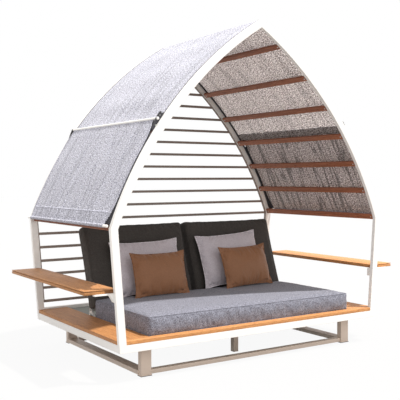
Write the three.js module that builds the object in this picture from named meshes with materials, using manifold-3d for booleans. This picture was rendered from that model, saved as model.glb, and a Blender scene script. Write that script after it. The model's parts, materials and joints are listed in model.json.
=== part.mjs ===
// An outdoor daybed with a canopy. Two arched metal frames carry a timber edged deck, timber
// battens with a fixed fabric roof and two fabric side panels that slide up over it. On the deck
// lie a mattress and two backs that recline, and a timber shelf hangs outside each pair of posts.
// Millimetres: the floor is z = 0, the front is -Y, the right is +X, and the middle is x = y = 0.
import * as THREE from 'three';
import { mergeVertices } from 'three/addons/utils/BufferGeometryUtils.js';
import Module from 'manifold-3d';

const wasm = await Module();
wasm.setup();

// Clearances
const seat = 0.3;
const screenGap = 0.6;
const pinGap = 0.5;

// Arched frames
const frameWidth = 2200;
const frameDepth = 1376;
const barWidth = 50;
const barDepth = 28;
const railBottom = 189;
const railHeight = 49;
const sillRise = 37;
const kneeFlare = 57.6;
const kneeHeight = 959;
const ridgeHeight = 2351;
const curveRadius = 2655;
const curveSteps = 22;

// Deck
const sideRailWidth = 49;
const boardThickness = 25;
const sideBoardWidth = 232;
const frontBoardDepth = 53;
const platformThickness = 13;

// Underframe
const legInsetX = 195;
const legInsetY = 88;
const legWidth = 74;
const legDepth = 42;
const footThickness = 8;
const footMargin = 3;
const runnerHeight = 28;
const sideRunnerOverhang = 5;
const endRunnerInset = 10;
const endRunnerDepth = 45;
const spineWidth = 50;
const middleLegWidth = 40;
const middleLegInset = 308;

// Slatted screen at the rear
const slatCount = 19;
const slatHeight = 20;
const lowSlatRise = 49;
const highSlatDrop = 158.6;
const screenEdge = 9;
const screenThickness = 12;

// Battens under the roof, and the tracks along the outer edge of the arches
const battenCount = 7;
const battenWidth = 40;
const battenThickness = 20;
const battenInset = 4;
const lowBattenRise = 2.8;
const highBattenDrop = 164;
const trackThickness = 12;
const trackInset = 38;
const trackHeight = 12;

// Canopy fabric, rods and carriages: a run is a length up the outside of the curve
const fabricThickness = 4;
const roofInset = 46;
const roofRun = 736.5;
const foldRun = 764.8;
const hemRun = 9.4;
const panelEndGap = 10;
const panelDrawnIn = 9;
const drawnInRun = 40;
const panelLift = 1;
const rodDiameter = 18;
const rodRise = 17;
const bottomRodOverhang = 10;
const carriageHeight = 28;
const carriageWidth = 17;
const carriageBelowRod = 80;
const carriageAboveRod = 56.7;
const carriageNeck = 12;

// Side shelves
const shelfTop = 588;
const shelfOffset = 4;
const shelfWidth = 215;
const shelfThickness = 26;
const shelfFrontInset = 37;
const shelfRearInset = 60;
const bracketReach = 150;
const bracketArm = 10;
const bracketDrop = 58;
const bracketThickness = 30;

// Mattress
const mattressThickness = 134.4;
const mattressSideGap = 0.5;
const mattressRearInset = 525;
const mattressEdgeRadius = 12;
const mattressCrown = 8;
const mattressDrawnIn = 5;

// Reclining backs: pivot line, lean from upright, and what turns with them
const pivotInset = 409;
const pivotRise = 42.7;
const backLean = 18.5;
const backInnerX = 14;
const backSideGap = 2;
const backCushionThickness = 120;
const backCushionHeight = 612;
const backCushionRadius = 24;
const backCushionCrown = 10;
const backCushionDrawnIn = 6;
const backBoardThickness = 18;
const backBoardHeight = 560;
const backBoardTail = 12;
const backBoardInset = 30;
const pinDiameter = 12;
const hingePlate = 12;
const hingeEyeRadius = 13;
const hingeLegWidth = 11;
const hingeFrontFoot = 62;
const hingeRearFoot = 22;

// Props that hold the backs
const propWidth = 40;
const propThickness = 14;
const propEyeRadius = 10;
const propPinDiameter = 10;
const propPinHeight = 250;
const propPinSetback = 22;
const propFootRadius = 8;
const propFootRise = 3;
const propFootRun = 80;
const lugThickness = 6;
const lugHeight = 26;

// Loose pillows: seam width and height, fullness before and behind the seam, how far the sides
// draw in, how far the lowest seam stands across from the middle of its back and ahead of the
// mattress's rear edge, lean, roll and turn in degrees
const seamThickness = 6;
const pillowForms = {
  left_rear: {
    width: 610, height: 440, front: 60, behind: 28, drawn: 18,
    across: 22, ahead: 53, lean: 17.5, roll: -1, turn: 0,
  },
  right_rear: {
    width: 620, height: 452, front: 60, behind: 28, drawn: 22,
    across: -80, ahead: 41, lean: 17.5, roll: -3, turn: 0,
  },
  left_front: {
    width: 490, height: 358, front: 56, behind: 26, drawn: 18,
    across: 48, ahead: 173, lean: 16, roll: 0, turn: 0,
  },
  right_front: {
    width: 510, height: 362, front: 56, behind: 26, drawn: 18,
    across: -15, ahead: 157, lean: 18, roll: -1, turn: 4,
  },
};
const pillowSteps = 6;

// Derived places
const outerRadius = curveRadius + barWidth;
const frontPlane = frameDepth / 2;
const innerPlane = frontPlane - barDepth;
const railTop = railBottom + railHeight;
const sillTop = railTop + sillRise;
const boardTop = railTop + seat + boardThickness;
const platformTop = railTop + seat + platformThickness;
const sideBoardInnerX = frameWidth / 2 - sideBoardWidth;
const frontBoardRearY = frontPlane - frontBoardDepth;
const legOuterX = frameWidth / 2 - legInsetX;
const legOuterY = frontPlane - legInsetY;
const middleLegOuterY = frontPlane - middleLegInset;
const trackPlane = innerPlane - seat - trackThickness;
const trackTop = curveRadius + trackInset + trackHeight;
const rodRadius = rodDiameter / 2;
const rodOnCurve = trackTop + rodRise;
const panelHalfDepth = innerPlane - panelEndGap;
const shelfInnerX = frameWidth / 2 + shelfOffset;
const mattressBottom = platformTop + seat;
const mattressTop = mattressBottom + mattressThickness;
const mattressHalfWidth = sideBoardInnerX - mattressSideGap;
const mattressFrontY = seat - frontBoardRearY;
const mattressRearY = frontPlane - mattressRearInset;
const mattressMiddleY = (mattressRearY + mattressFrontY) / 2;
const pivotY = frontPlane - pivotInset;
const pivotZ = platformTop + pivotRise;
const backOuterX = sideBoardInnerX - backSideGap;
const backMiddleX = (backInnerX + backOuterX) / 2;

const white = { color: 0xf2f2f0, roughness: 0.45, metalness: 0.1 };
const taupe = { color: 0xc6b5a6, roughness: 0.5, metalness: 0.1 };
const greyBrown = { color: 0x8d8078, roughness: 0.5, metalness: 0.1 };
const black = { color: 0x26262a, roughness: 0.5, metalness: 0 };
const teak = { color: 0xd9a066, roughness: 0.6, metalness: 0 };
const greyPanel = { color: 0x8b908c, roughness: 0.7, metalness: 0 };
const canopyCloth = { color: 0xb9b3ae, roughness: 0.9, metalness: 0 };
const mattressCloth = { color: 0x77777f, roughness: 0.95, metalness: 0 };
const charcoalCloth = { color: 0x3c3936, roughness: 0.95, metalness: 0 };
const paleCloth = { color: 0xb4abae, roughness: 0.95, metalness: 0 };
const brownCloth = { color: 0x80593c, roughness: 0.9, metalness: 0 };

const sides = { left: -1, right: 1 };
const ends = { front: -1, rear: 1 };
const daybed = new THREE.Group();

function add(name, geometry, finish, parent = daybed) {
  const mesh = new THREE.Mesh(geometry, new THREE.MeshStandardMaterial(finish));
  mesh.name = name;
  parent.add(mesh);
  return mesh;
}

// A box between two values on each axis.
function blockGeometry([x0, x1], [y0, y1], [z0, z1]) {
  const geometry = new THREE.BoxGeometry(Math.abs(x1 - x0), Math.abs(y1 - y0), Math.abs(z1 - z0));
  return geometry.translate((x0 + x1) / 2, (y0 + y1) / 2, (z0 + z1) / 2);
}

function addBlock(name, finish, [x0, x1], [y0, y1], [z0, z1]) {
  const geometry = new THREE.BoxGeometry(Math.abs(x1 - x0), Math.abs(y1 - y0), Math.abs(z1 - z0));
  const mesh = add(name, geometry, finish);
  mesh.position.set((x0 + x1) / 2, (y0 + y1) / 2, (z0 + z1) / 2);
}

// An outline drawn as seen from the front, extruded between two depths.
function addUpright(name, finish, shape, y0, y1) {
  const geometry = new THREE.ExtrudeGeometry(shape, { depth: y1 - y0, bevelEnabled: false });
  const mesh = add(name, geometry, finish);
  mesh.rotation.x = Math.PI / 2;
  mesh.position.y = y1;
}

// An outline drawn as depth and height, extruded along the width.
function profileGeometry(shape, width, curveSegments) {
  const options = { depth: width, bevelEnabled: false, curveSegments };
  return new THREE.ExtrudeGeometry(shape, options).rotateX(Math.PI / 2).rotateZ(Math.PI / 2);
}

function toSolid(geometry) {
  const bare = geometry.clone();
  bare.deleteAttribute('normal');
  bare.deleteAttribute('uv');
  const merged = mergeVertices(bare);
  const mesh = new wasm.Mesh({
    numProp: 3,
    vertProperties: Float32Array.from(merged.attributes.position.array),
    triVerts: Uint32Array.from(merged.index.array),
  });
  return new wasm.Manifold(mesh);
}

// One solid from several that overlap.
function fuse(geometries) {
  const joined = geometries.map(toSolid).reduce((sum, next) => sum.add(next));
  const mesh = joined.getMesh();
  const geometry = new THREE.BufferGeometry();
  geometry.setAttribute('position', new THREE.BufferAttribute(mesh.vertProperties, 3));
  geometry.setIndex(new THREE.BufferAttribute(mesh.triVerts, 1));
  return geometry;
}

// The right curved bar joins its knee to the ridge, and its centre lies past the left side.
const outerKnee = new THREE.Vector2(frameWidth / 2 + kneeFlare, kneeHeight);
const ridge = new THREE.Vector2(0, ridgeHeight);
const chord = ridge.clone().sub(outerKnee);
const bow = Math.sqrt(outerRadius ** 2 - chord.lengthSq() / 4);
const toCentre = new THREE.Vector2(-chord.y, chord.x).setLength(bow);
const curveCentre = outerKnee.clone().add(ridge).divideScalar(2).add(toCentre);
const kneeTurn = Math.atan2(outerKnee.y - curveCentre.y, outerKnee.x - curveCentre.x);
const kneeAngle = THREE.MathUtils.radToDeg(kneeTurn);

// A place on a curved bar, given by radius and by elevation in degrees as seen from its centre.
function onCurve(side, radius, degrees) {
  const angle = THREE.MathUtils.degToRad(degrees);
  const x = side * (radius * Math.cos(angle) + curveCentre.x);
  return new THREE.Vector2(x, curveCentre.y + radius * Math.sin(angle));
}

function ridgeAngle(radius) {
  return THREE.MathUtils.radToDeg(Math.acos(-curveCentre.x / radius));
}

function elevationAtHeight(radius, z) {
  return THREE.MathUtils.radToDeg(Math.asin((z - curveCentre.y) / radius));
}

// The elevation of a place that is some run up the outside of the curve from the knee.
function elevationAtRun(run) {
  return kneeAngle + THREE.MathUtils.radToDeg(run / outerRadius);
}

// Points up the right curve, from an elevation to the ridge.
function rise(radius, from) {
  const points = [];
  for (let i = 0; i < curveSteps; i += 1) {
    const angle = from + ((ridgeAngle(radius) - from) * i) / curveSteps;
    points.push(onCurve(1, radius, angle));
  }
  points.push(new THREE.Vector2(0, onCurve(1, radius, ridgeAngle(radius)).y));
  return points;
}

// A run that is alike on the left and on the right, from the points of its right half.
function mirrored(points) {
  const left = points.filter((point) => point.x > 0).map((point) => new THREE.Vector2(-point.x, point.y));
  return [...points, ...left.reverse()];
}

// A band over both curves between two radii, open at the bottom.
function archBand(lowRadius, highRadius, from) {
  const outside = mirrored(rise(highRadius, from));
  const inside = mirrored(rise(lowRadius, from)).reverse();
  return new THREE.Shape([...outside, ...inside]);
}

const postFoot = new THREE.Vector2(frameWidth / 2, railBottom);
const postLean = Math.atan2(outerKnee.x - postFoot.x, outerKnee.y - postFoot.y);
const mitreLength = barWidth / Math.cos((kneeTurn + postLean) / 2);
const mitreAngle = (kneeTurn - postLean) / 2;
const innerKnee = new THREE.Vector2(
  outerKnee.x - mitreLength * Math.cos(mitreAngle),
  outerKnee.y - mitreLength * Math.sin(mitreAngle),
);

function postOuterX(z) {
  return postFoot.x + (z - postFoot.y) * Math.tan(postLean);
}

function postInnerX(z) {
  return postOuterX(z) - barWidth / Math.cos(postLean);
}

// Half the clear width inside an arch at a height.
function insideX(z) {
  if (z < innerKnee.y) return postInnerX(z);
  return Math.sqrt(curveRadius ** 2 - (z - curveCentre.y) ** 2) + curveCentre.x;
}

// Posts, curved bars and lower bar, welded into one closed frame.
function archShape(lowerBarTop) {
  const shape = new THREE.Shape(mirrored([postFoot, ...rise(outerRadius, kneeAngle)]));
  const innerKneeAngle = elevationAtHeight(curveRadius, innerKnee.y);
  const foot = new THREE.Vector2(postInnerX(lowerBarTop), lowerBarTop);
  const opening = [foot, innerKnee, ...rise(curveRadius, innerKneeAngle).slice(1)];
  shape.holes.push(new THREE.Path(mirrored(opening)));
  return shape;
}

function addArches() {
  addUpright('arch_front', white, archShape(railTop), -frontPlane, -innerPlane);
  addUpright('arch_rear', white, archShape(sillTop), innerPlane, frontPlane);
}

// Louvre screen inside the rear arch: slats between two edge strips.
function addRearScreen() {
  const half = slatHeight / 2;
  const lowSlatZ = sillTop + lowSlatRise;
  const slatPitch = (ridgeHeight - highSlatDrop - lowSlatZ) / (slatCount - 1);
  const slatZ = (index) => lowSlatZ + index * slatPitch;
  const lowest = slatZ(0) - half;
  const highest = slatZ(slatCount - 1) + half;
  const edge = [new THREE.Vector2(insideX(lowest) - screenGap, lowest)];
  for (let i = 0; i < slatCount - 1; i += 1) {
    const z = slatZ(i) + slatPitch / 2;
    if (z - slatPitch < innerKnee.y && innerKnee.y < z) {
      edge.push(new THREE.Vector2(innerKnee.x - screenGap, innerKnee.y));
    }
    edge.push(new THREE.Vector2(insideX(z) - screenGap, z));
  }
  edge.push(new THREE.Vector2(insideX(highest) - screenGap, highest));
  const shape = new THREE.Shape(mirrored(edge));
  for (let i = 0; i < slatCount - 1; i += 1) {
    const low = slatZ(i) + half;
    const high = slatZ(i + 1) - half;
    const corners = [low, high].map((z) => new THREE.Vector2(insideX(z) - screenGap - screenEdge, z));
    shape.holes.push(new THREE.Path(mirrored(corners)));
  }
  const middle = (innerPlane + frontPlane) / 2;
  const y0 = middle - screenThickness / 2;
  addUpright('rear_screen', greyBrown, shape, y0, y0 + screenThickness);
}

function addDeck() {
  const outer = frameWidth / 2;
  const railEnd = innerPlane - seat;
  const panelHalf = sideBoardInnerX - seat;
  const boardBottom = railTop + seat;
  for (const [name, side] of Object.entries(sides)) {
    const railX = [side * (outer - sideRailWidth), side * outer];
    const boardX = [side * sideBoardInnerX, side * outer];
    addBlock(`side_rail_${name}`, white, railX, [-railEnd, railEnd], [railBottom, railTop]);
    addBlock(`deck_board_${name}`, teak, boardX, [-railEnd, railEnd], [boardBottom, boardTop]);
  }
  const noseHalf = postInnerX(railTop) - seat;
  const board = new THREE.Shape([
    new THREE.Vector2(-noseHalf, -frontPlane),
    new THREE.Vector2(noseHalf, -frontPlane),
    new THREE.Vector2(noseHalf, -innerPlane - seat),
    new THREE.Vector2(panelHalf, -innerPlane - seat),
    new THREE.Vector2(panelHalf, -frontBoardRearY),
    new THREE.Vector2(-panelHalf, -frontBoardRearY),
    new THREE.Vector2(-panelHalf, -innerPlane - seat),
    new THREE.Vector2(-noseHalf, -innerPlane - seat),
  ]);
  const options = { depth: boardThickness, bevelEnabled: false };
  const front = add('deck_board_front', new THREE.ExtrudeGeometry(board, options), teak);
  front.position.z = boardBottom;
  const platformY = [-frontBoardRearY + seat, innerPlane - seat];
  addBlock('platform', greyPanel, [-panelHalf, panelHalf], platformY, [boardBottom, platformTop]);
}

// Legs on foot plates, a ring of runners near the floor and a beam under each end of the deck.
function addUnderframe() {
  const legX = [legOuterX - legWidth, legOuterX];
  const legY = [legOuterY - legDepth, legOuterY];
  const runnerZ = [footThickness, footThickness + runnerHeight];
  const beamHalf = frameWidth / 2 - sideRailWidth - seat;
  const sideRunnerOuter = legOuterX + sideRunnerOverhang;
  const endRunnerOuter = legOuterY - endRunnerInset;
  const pieces = [];
  for (const x of Object.values(sides)) {
    const runnerX = [x * (sideRunnerOuter - legWidth), x * sideRunnerOuter];
    const runnerY = endRunnerOuter - endRunnerDepth / 2;
    pieces.push(blockGeometry(runnerX, [-runnerY, runnerY], runnerZ));
    for (const y of Object.values(ends)) {
      const plateX = [x * (legX[0] - footMargin), x * (legX[1] + footMargin)];
      const plateY = [y * (legY[0] - footMargin), y * (legY[1] + footMargin)];
      pieces.push(blockGeometry(plateX, plateY, [0, footThickness]));
      pieces.push(blockGeometry(legX.map((v) => x * v), legY.map((v) => y * v), [0, railTop]));
    }
  }
  for (const y of Object.values(ends)) {
    const runnerY = [y * (endRunnerOuter - endRunnerDepth), y * endRunnerOuter];
    pieces.push(blockGeometry([-legX[0], legX[0]], runnerY, runnerZ));
    pieces.push(blockGeometry([-beamHalf, beamHalf], legY.map((v) => y * v), [railBottom, railTop]));
  }
  add('underframe', fuse(pieces), taupe);
}

// A beam along the middle of the deck on two short legs.
function addCentreSupport() {
  const beamY = legOuterY - legDepth - seat;
  const beam = [[-spineWidth / 2, spineWidth / 2], [-beamY, beamY], [railBottom, railTop]];
  const pieces = [blockGeometry(...beam)];
  const legX = [-middleLegWidth / 2, middleLegWidth / 2];
  for (const y of Object.values(ends)) {
    const legY = [y * (middleLegOuterY - middleLegWidth), y * middleLegOuterY];
    pieces.push(blockGeometry(legX, legY, [0, railTop]));
  }
  add('centre_support', fuse(pieces), taupe);
}

function addTracks() {
  const from = elevationAtHeight(curveRadius, innerKnee.y);
  const shape = archBand(curveRadius + trackInset, trackTop, from);
  addUpright('canopy_track_front', black, shape, -innerPlane + seat, -trackPlane);
  addUpright('canopy_track_rear', black, shape, trackPlane, innerPlane - seat);
}

// A group whose local x points straight out from a curve, at a radius and an elevation.
function curveFrame(side, radius, degrees) {
  const frame = new THREE.Group();
  const place = onCurve(side, radius, degrees);
  const turn = THREE.MathUtils.degToRad(degrees);
  frame.position.set(place.x, 0, place.y);
  frame.rotation.y = side > 0 ? -turn : Math.PI + turn;
  daybed.add(frame);
  return frame;
}

function addBattens() {
  const radius = curveRadius + battenInset + battenThickness / 2;
  const length = 2 * (innerPlane - seat);
  const top = ridgeHeight - highBattenDrop;
  const pitch = (top - kneeHeight - lowBattenRise) / (battenCount - 1);
  for (const [name, side] of Object.entries(sides)) {
    for (let i = 0; i < battenCount; i += 1) {
      const frame = curveFrame(side, radius, elevationAtHeight(radius, top - i * pitch));
      const geometry = new THREE.BoxGeometry(battenThickness, length, battenWidth);
      add(`batten_${name}_${i + 1}`, geometry, teak, frame);
    }
  }
}

function addRoof() {
  const half = trackPlane - seat;
  const low = curveRadius + roofInset;
  const band = archBand(low, low + fabricThickness, elevationAtRun(roofRun));
  addUpright('canopy_roof', canopyCloth, band, -half, half);
}

// A closed shell between two grids that share their edges. The place function gives the point for
// two positions and a face, 0 behind and 1 in front.
function shell(across, along, place) {
  const points = [];
  const faces = [];
  const index = (i, j, face) => (face * along.length + j) * across.length + i;
  for (const face of [0, 1]) {
    for (const v of along) for (const u of across) points.push(...place(u, v, face));
  }
  const quad = (a, b, c, d) => faces.push(a, b, c, a, c, d);
  const lastI = across.length - 1;
  const lastJ = along.length - 1;
  for (let i = 0; i < lastI; i += 1) {
    for (let j = 0; j < lastJ; j += 1) {
      quad(index(i, j, 1), index(i + 1, j, 1), index(i + 1, j + 1, 1), index(i, j + 1, 1));
      quad(index(i, j, 0), index(i, j + 1, 0), index(i + 1, j + 1, 0), index(i + 1, j, 0));
    }
    quad(index(i, 0, 0), index(i + 1, 0, 0), index(i + 1, 0, 1), index(i, 0, 1));
    quad(index(i, lastJ, 1), index(i + 1, lastJ, 1), index(i + 1, lastJ, 0), index(i, lastJ, 0));
  }
  for (let j = 0; j < lastJ; j += 1) {
    quad(index(0, j, 1), index(0, j + 1, 1), index(0, j + 1, 0), index(0, j, 0));
    quad(index(lastI, j, 0), index(lastI, j + 1, 0), index(lastI, j + 1, 1), index(lastI, j, 1));
  }
  const geometry = new THREE.BufferGeometry();
  geometry.setAttribute('position', new THREE.Float32BufferAttribute(points, 3));
  geometry.setIndex(faces);
  return geometry;
}

// Fabric that runs straight off two rods and lies along the tracks between them. Its top corners
// pass inside the carriages.
function sidePanelGeometry(side) {
  const rodTurn = THREE.MathUtils.radToDeg((rodRadius + seat) / rodOnCurve);
  const low = elevationAtRun(hemRun) + rodTurn;
  const high = elevationAtRun(foldRun) - rodTurn;
  const inFrom = elevationAtRun(foldRun - carriageBelowRod - 5 * seat);
  const outUntil = inFrom - THREE.MathUtils.radToDeg(drawnInRun / outerRadius);
  const lying = trackTop + panelLift + fabricThickness / 2;
  const reach = Math.acos(lying / rodOnCurve);
  const upShares = [0, 0.06, 0.12, 0.18, 0.26, 0.34, 0.42, 0.5, 0.58, 0.66, 0.74, 0.94, 1];
  const angles = upShares.map((share) => low + (high - low) * share);
  angles.splice(angles.length - 2, 0, outUntil, inFrom);
  const acrossShares = [-1, -0.8, -0.5, 0, 0.5, 0.8, 1];
  const halfDepth = (angle) => {
    const drawn = Math.min(1, Math.max(0, (angle - outUntil) / (inFrom - outUntil)));
    return panelHalfDepth - panelDrawnIn * drawn;
  };
  const place = (angle, share, face) => {
    const fromRod = THREE.MathUtils.degToRad(Math.min(angle - low, high - angle));
    const line = lying / Math.cos(Math.max(0, reach - fromRod));
    const point = onCurve(side, line + (face - 0.5) * fabricThickness, angle);
    return [point.x, share * halfDepth(angle), point.y];
  };
  return shell(side < 0 ? angles : angles.reverse(), acrossShares, place);
}

// The block that guides an end of the upper rod on its track, as runs from the rod and shares of
// its height. At the front it goes on into a forked clamp.
const carriageFoot = [[-1, 0], [-1, 0.25], [-0.5, 0.62], [-0.1, 0.88]];
const carriageFork = [
  [0.28, 0.96], [0.7, 1], [0.88, 0.96], [0.95, 0.8], [0.88, 0.62], [0.72, 0.52], [0.88, 0.4],
  [1, 0.28], [1, 0.08], [0.95, 0],
];
const soleSteps = 8;

function carriageShape(side, forked) {
  const sole = trackTop + seat;
  const place = (run, share) =>
    onCurve(side, sole + share * carriageHeight, elevationAtRun(foldRun + run));
  const foot = carriageFoot.map(([share, up]) => place(share * carriageBelowRod, up));
  const fork = carriageFork.map(([share, up]) => place(share * carriageAboveRod, up));
  const neck = [place(0, 0.94), place(carriageNeck * 0.75, 0.78)];
  const stub = [place(carriageNeck, 0.36), place(carriageNeck, 0)];
  const end = forked ? carriageFork.at(-1)[0] * carriageAboveRod : carriageNeck;
  const soleLength = end + carriageBelowRod;
  const curved = [];
  for (let i = 1; i < soleSteps; i += 1) curved.push(place(end - (soleLength * i) / soleSteps, 0));
  return new THREE.Shape([...foot, ...neck, ...(forked ? fork : stub), ...curved]);
}

function addRod(name, side, run, length) {
  const frame = curveFrame(side, rodOnCurve, elevationAtRun(run));
  add(name, new THREE.CylinderGeometry(rodRadius, rodRadius, length, 16), white, frame);
}

function addSidePanels() {
  const outer = innerPlane - seat;
  const inner = outer - carriageWidth;
  for (const [name, side] of Object.entries(sides)) {
    add(`side_panel_${name}`, sidePanelGeometry(side), canopyCloth);
    addRod(`upper_rod_${name}`, side, foldRun, 2 * (inner - seat));
    addRod(`lower_rod_${name}`, side, hemRun, 2 * (panelHalfDepth + bottomRodOverhang));
    addUpright(`carriage_${name}_front`, black, carriageShape(side, true), -outer, -inner);
    addUpright(`carriage_${name}_rear`, black, carriageShape(side, false), inner, outer);
  }
}

// An angle bracket with a gusset, on the face of a post that looks along the bed.
function bracketShape(side) {
  const top = shelfTop - shelfThickness - seat;
  const inner = postInnerX(top) + seat;
  const outer = shelfInnerX + bracketReach;
  const low = top - bracketDrop;
  const post = postOuterX(low);
  const points = [[inner, top], [outer, top], [outer, top - bracketArm]];
  points.push([post + bracketDrop / 2, top - bracketArm], [post, low], [inner, low]);
  return new THREE.Shape(points.map(([x, z]) => new THREE.Vector2(side * x, z)));
}

function addShelves() {
  const y = innerPlane - seat;
  const shelfY = [shelfFrontInset - frontPlane, frontPlane - shelfRearInset];
  const shelfZ = [shelfTop - shelfThickness, shelfTop];
  for (const [name, side] of Object.entries(sides)) {
    const shelfX = [side * shelfInnerX, side * (shelfInnerX + shelfWidth)];
    addBlock(`shelf_${name}`, teak, shelfX, shelfY, shelfZ);
    const shape = bracketShape(side);
    addUpright(`shelf_bracket_${name}_front`, white, shape, -y, bracketThickness - y);
    addUpright(`shelf_bracket_${name}_rear`, white, shape, y - bracketThickness, y);
  }
}

// Grid positions over a size, close together over the round shoulder at each edge.
function spread(size, shoulder, shoulderSteps, middleSteps) {
  const half = size / 2;
  const near = [];
  for (let i = 0; i <= shoulderSteps; i += 1) {
    near.push(-half + shoulder * (1 - Math.cos(((Math.PI / 2) * i) / shoulderSteps)));
  }
  const far = near.map((value) => -value).reverse();
  if (middleSteps === 0) return [...near, ...far.slice(1)];
  const inner = half - shoulder;
  const middle = [];
  for (let i = 1; i < middleSteps; i += 1) middle.push(-inner + (2 * inner * i) / middleSteps);
  return [...near, ...middle, ...far];
}

// How far a round shoulder has risen at a place, from 0 at the edge to 1 past the shoulder.
function risen(position, size, shoulder) {
  const into = Math.min((size / 2 - Math.abs(position)) / shoulder, 1);
  return Math.sqrt(Math.max(0, 1 - (1 - into) ** 2));
}

// A stuffed body: a flat band round its edge, shoulders that swell from it before and behind, a
// crown over the middle of its front, and sides that draw in between the corners.
function stuffedGeometry(form, xs, ys) {
  const place = (x, y, face) => {
    const u = (2 * x) / form.width;
    const v = (2 * y) / form.height;
    const full = risen(x, form.width, form.shoulderX) * risen(y, form.height, form.shoulderY);
    const crown = form.crown * (1 - u ** 2) * (1 - v ** 2);
    const front = form.band / 2 + form.front * full + crown;
    const behind = form.band / 2 + form.behind * full;
    const drawnX = u * form.drawn * (1 - v ** 2);
    const drawnY = v * form.drawn * (1 - u ** 2);
    return [x - drawnX, y - drawnY, face ? front : -behind];
  };
  return shell(xs, ys, place);
}

const mattressForm = {
  width: 2 * mattressHalfWidth,
  height: mattressRearY - mattressFrontY,
  shoulderX: mattressEdgeRadius,
  shoulderY: mattressEdgeRadius,
  band: mattressThickness - 2 * mattressEdgeRadius,
  front: mattressEdgeRadius,
  behind: mattressEdgeRadius,
  crown: mattressCrown,
  drawn: mattressDrawnIn,
};

function addMattress() {
  const form = mattressForm;
  const xs = spread(form.width, form.shoulderX, 3, 8);
  const ys = spread(form.height, form.shoulderY, 3, 5);
  const mattress = add('mattress', stuffedGeometry(form, xs, ys), mattressCloth);
  mattress.position.set(0, mattressMiddleY, (mattressBottom + mattressTop) / 2);
}

// A group on a back's pivot line: local z runs up the back and local y out behind it.
function backFrame(side) {
  const frame = new THREE.Group();
  frame.position.set(side * backMiddleX, pivotY, pivotZ);
  frame.rotation.x = -THREE.MathUtils.degToRad(backLean);
  daybed.add(frame);
  return frame;
}

function addBackCushion(name, frame) {
  const radius = backCushionRadius;
  const form = {
    width: backOuterX - backInnerX,
    height: backCushionHeight,
    shoulderX: radius,
    shoulderY: radius,
    band: backCushionThickness - 2 * radius,
    front: radius,
    behind: radius,
    crown: backCushionCrown,
    drawn: backCushionDrawnIn,
  };
  const xs = spread(form.width, radius, 3, 6);
  const ys = spread(form.height, radius, 3, 5);
  const cushion = add(`back_cushion_${name}`, stuffedGeometry(form, xs, ys), charcoalCloth, frame);
  cushion.rotation.x = Math.PI / 2;
  const setForward = backBoardThickness / 2 + seat + backCushionThickness / 2;
  cushion.position.set(0, -setForward, form.height / 2);
}

// A panel with a hinge pin at each lower corner and a pair of lugs with a pin for the prop.
function addBackBoard(name, frame) {
  const half = (backOuterX - backInnerX) / 2 - backBoardInset;
  const y = backBoardThickness / 2;
  const lugIn = propWidth / 2 + seat;
  const lugOut = lugIn + lugThickness;
  const lugY = [0, propPinSetback + propPinDiameter];
  const lugZ = [propPinHeight - lugHeight / 2, propPinHeight + lugHeight / 2];
  const pinHalf = half + seat + hingePlate;
  const hingePin = new THREE.CylinderGeometry(pinDiameter / 2, pinDiameter / 2, 2 * pinHalf, 16);
  const propPin = new THREE.CylinderGeometry(propPinDiameter / 2, propPinDiameter / 2, 2 * lugOut, 16);
  hingePin.rotateZ(Math.PI / 2);
  propPin.rotateZ(Math.PI / 2).translate(0, propPinSetback, propPinHeight);
  const pieces = [
    blockGeometry([-half, half], [-y, y], [-backBoardTail, backBoardHeight]),
    blockGeometry([-lugOut, -lugIn], lugY, lugZ),
    blockGeometry([lugIn, lugOut], lugY, lugZ),
    hingePin,
    propPin,
  ];
  add(`back_board_${name}`, fuse(pieces), white, frame);
}

// An inverted V that stands on the platform and holds a hinge pin in its eye.
function hingeGeometry() {
  const ground = platformTop + seat - pivotZ;
  const eye = hingeEyeRadius;
  const crotch = -eye - hingeLegWidth / 2;
  const shape = new THREE.Shape();
  shape.moveTo(-hingeFrontFoot, ground);
  shape.lineTo(-eye, 0);
  shape.absarc(0, 0, eye, Math.PI, 0, true);
  shape.lineTo(hingeRearFoot, ground);
  shape.lineTo(hingeRearFoot - hingeLegWidth, ground);
  shape.lineTo(0, crotch);
  shape.lineTo(hingeLegWidth - hingeFrontFoot, ground);
  const bore = new THREE.Path();
  bore.absarc(0, 0, pinDiameter / 2 + pinGap, 0, Math.PI * 2);
  shape.holes.push(bore);
  return profileGeometry(shape, hingePlate, 8);
}

function addHinges(name, side) {
  const middle = side * backMiddleX;
  const half = (backOuterX - backInnerX) / 2 - backBoardInset + seat;
  const starts = { inner: -side * half, outer: side * half };
  for (const [place, x] of Object.entries(starts)) {
    const hinge = add(`back_hinge_${name}_${place}`, hingeGeometry(), white);
    hinge.position.set(middle + (x > 0 ? x : x - hingePlate), pivotY, pivotZ);
  }
}

// A bar that turns on the back's pin and rests its foot on the platform.
function addProp(name, frame) {
  const lean = THREE.MathUtils.degToRad(backLean);
  const rise = propPinHeight * Math.cos(lean) - propPinSetback * Math.sin(lean);
  const footZ = platformTop + propFootRadius + propFootRise - pivotZ;
  const drop = rise - footZ;
  const length = Math.hypot(drop, propFootRun);
  const half = propThickness / 2;
  const shape = new THREE.Shape();
  shape.absarc(0, 0, propEyeRadius, -Math.PI / 4, Math.PI + Math.PI / 4);
  shape.lineTo(-half, -2 * propEyeRadius);
  shape.lineTo(-half, -length);
  shape.absarc(0, -length, propFootRadius, Math.PI, Math.PI * 2);
  shape.lineTo(half, -2 * propEyeRadius);
  const bore = new THREE.Path();
  bore.absarc(0, 0, propPinDiameter / 2 + pinGap, 0, Math.PI * 2);
  shape.holes.push(bore);
  const prop = add(`back_prop_${name}`, profileGeometry(shape, propWidth, 8), white, frame);
  prop.position.set(-propWidth / 2, propPinSetback, propPinHeight);
  prop.rotation.x = lean + Math.atan2(propFootRun, drop);
}

function addBacks() {
  for (const [name, side] of Object.entries(sides)) {
    const frame = backFrame(side);
    addBackCushion(name, frame);
    addBackBoard(name, frame);
    addHinges(name, side);
    addProp(name, frame);
  }
}

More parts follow.
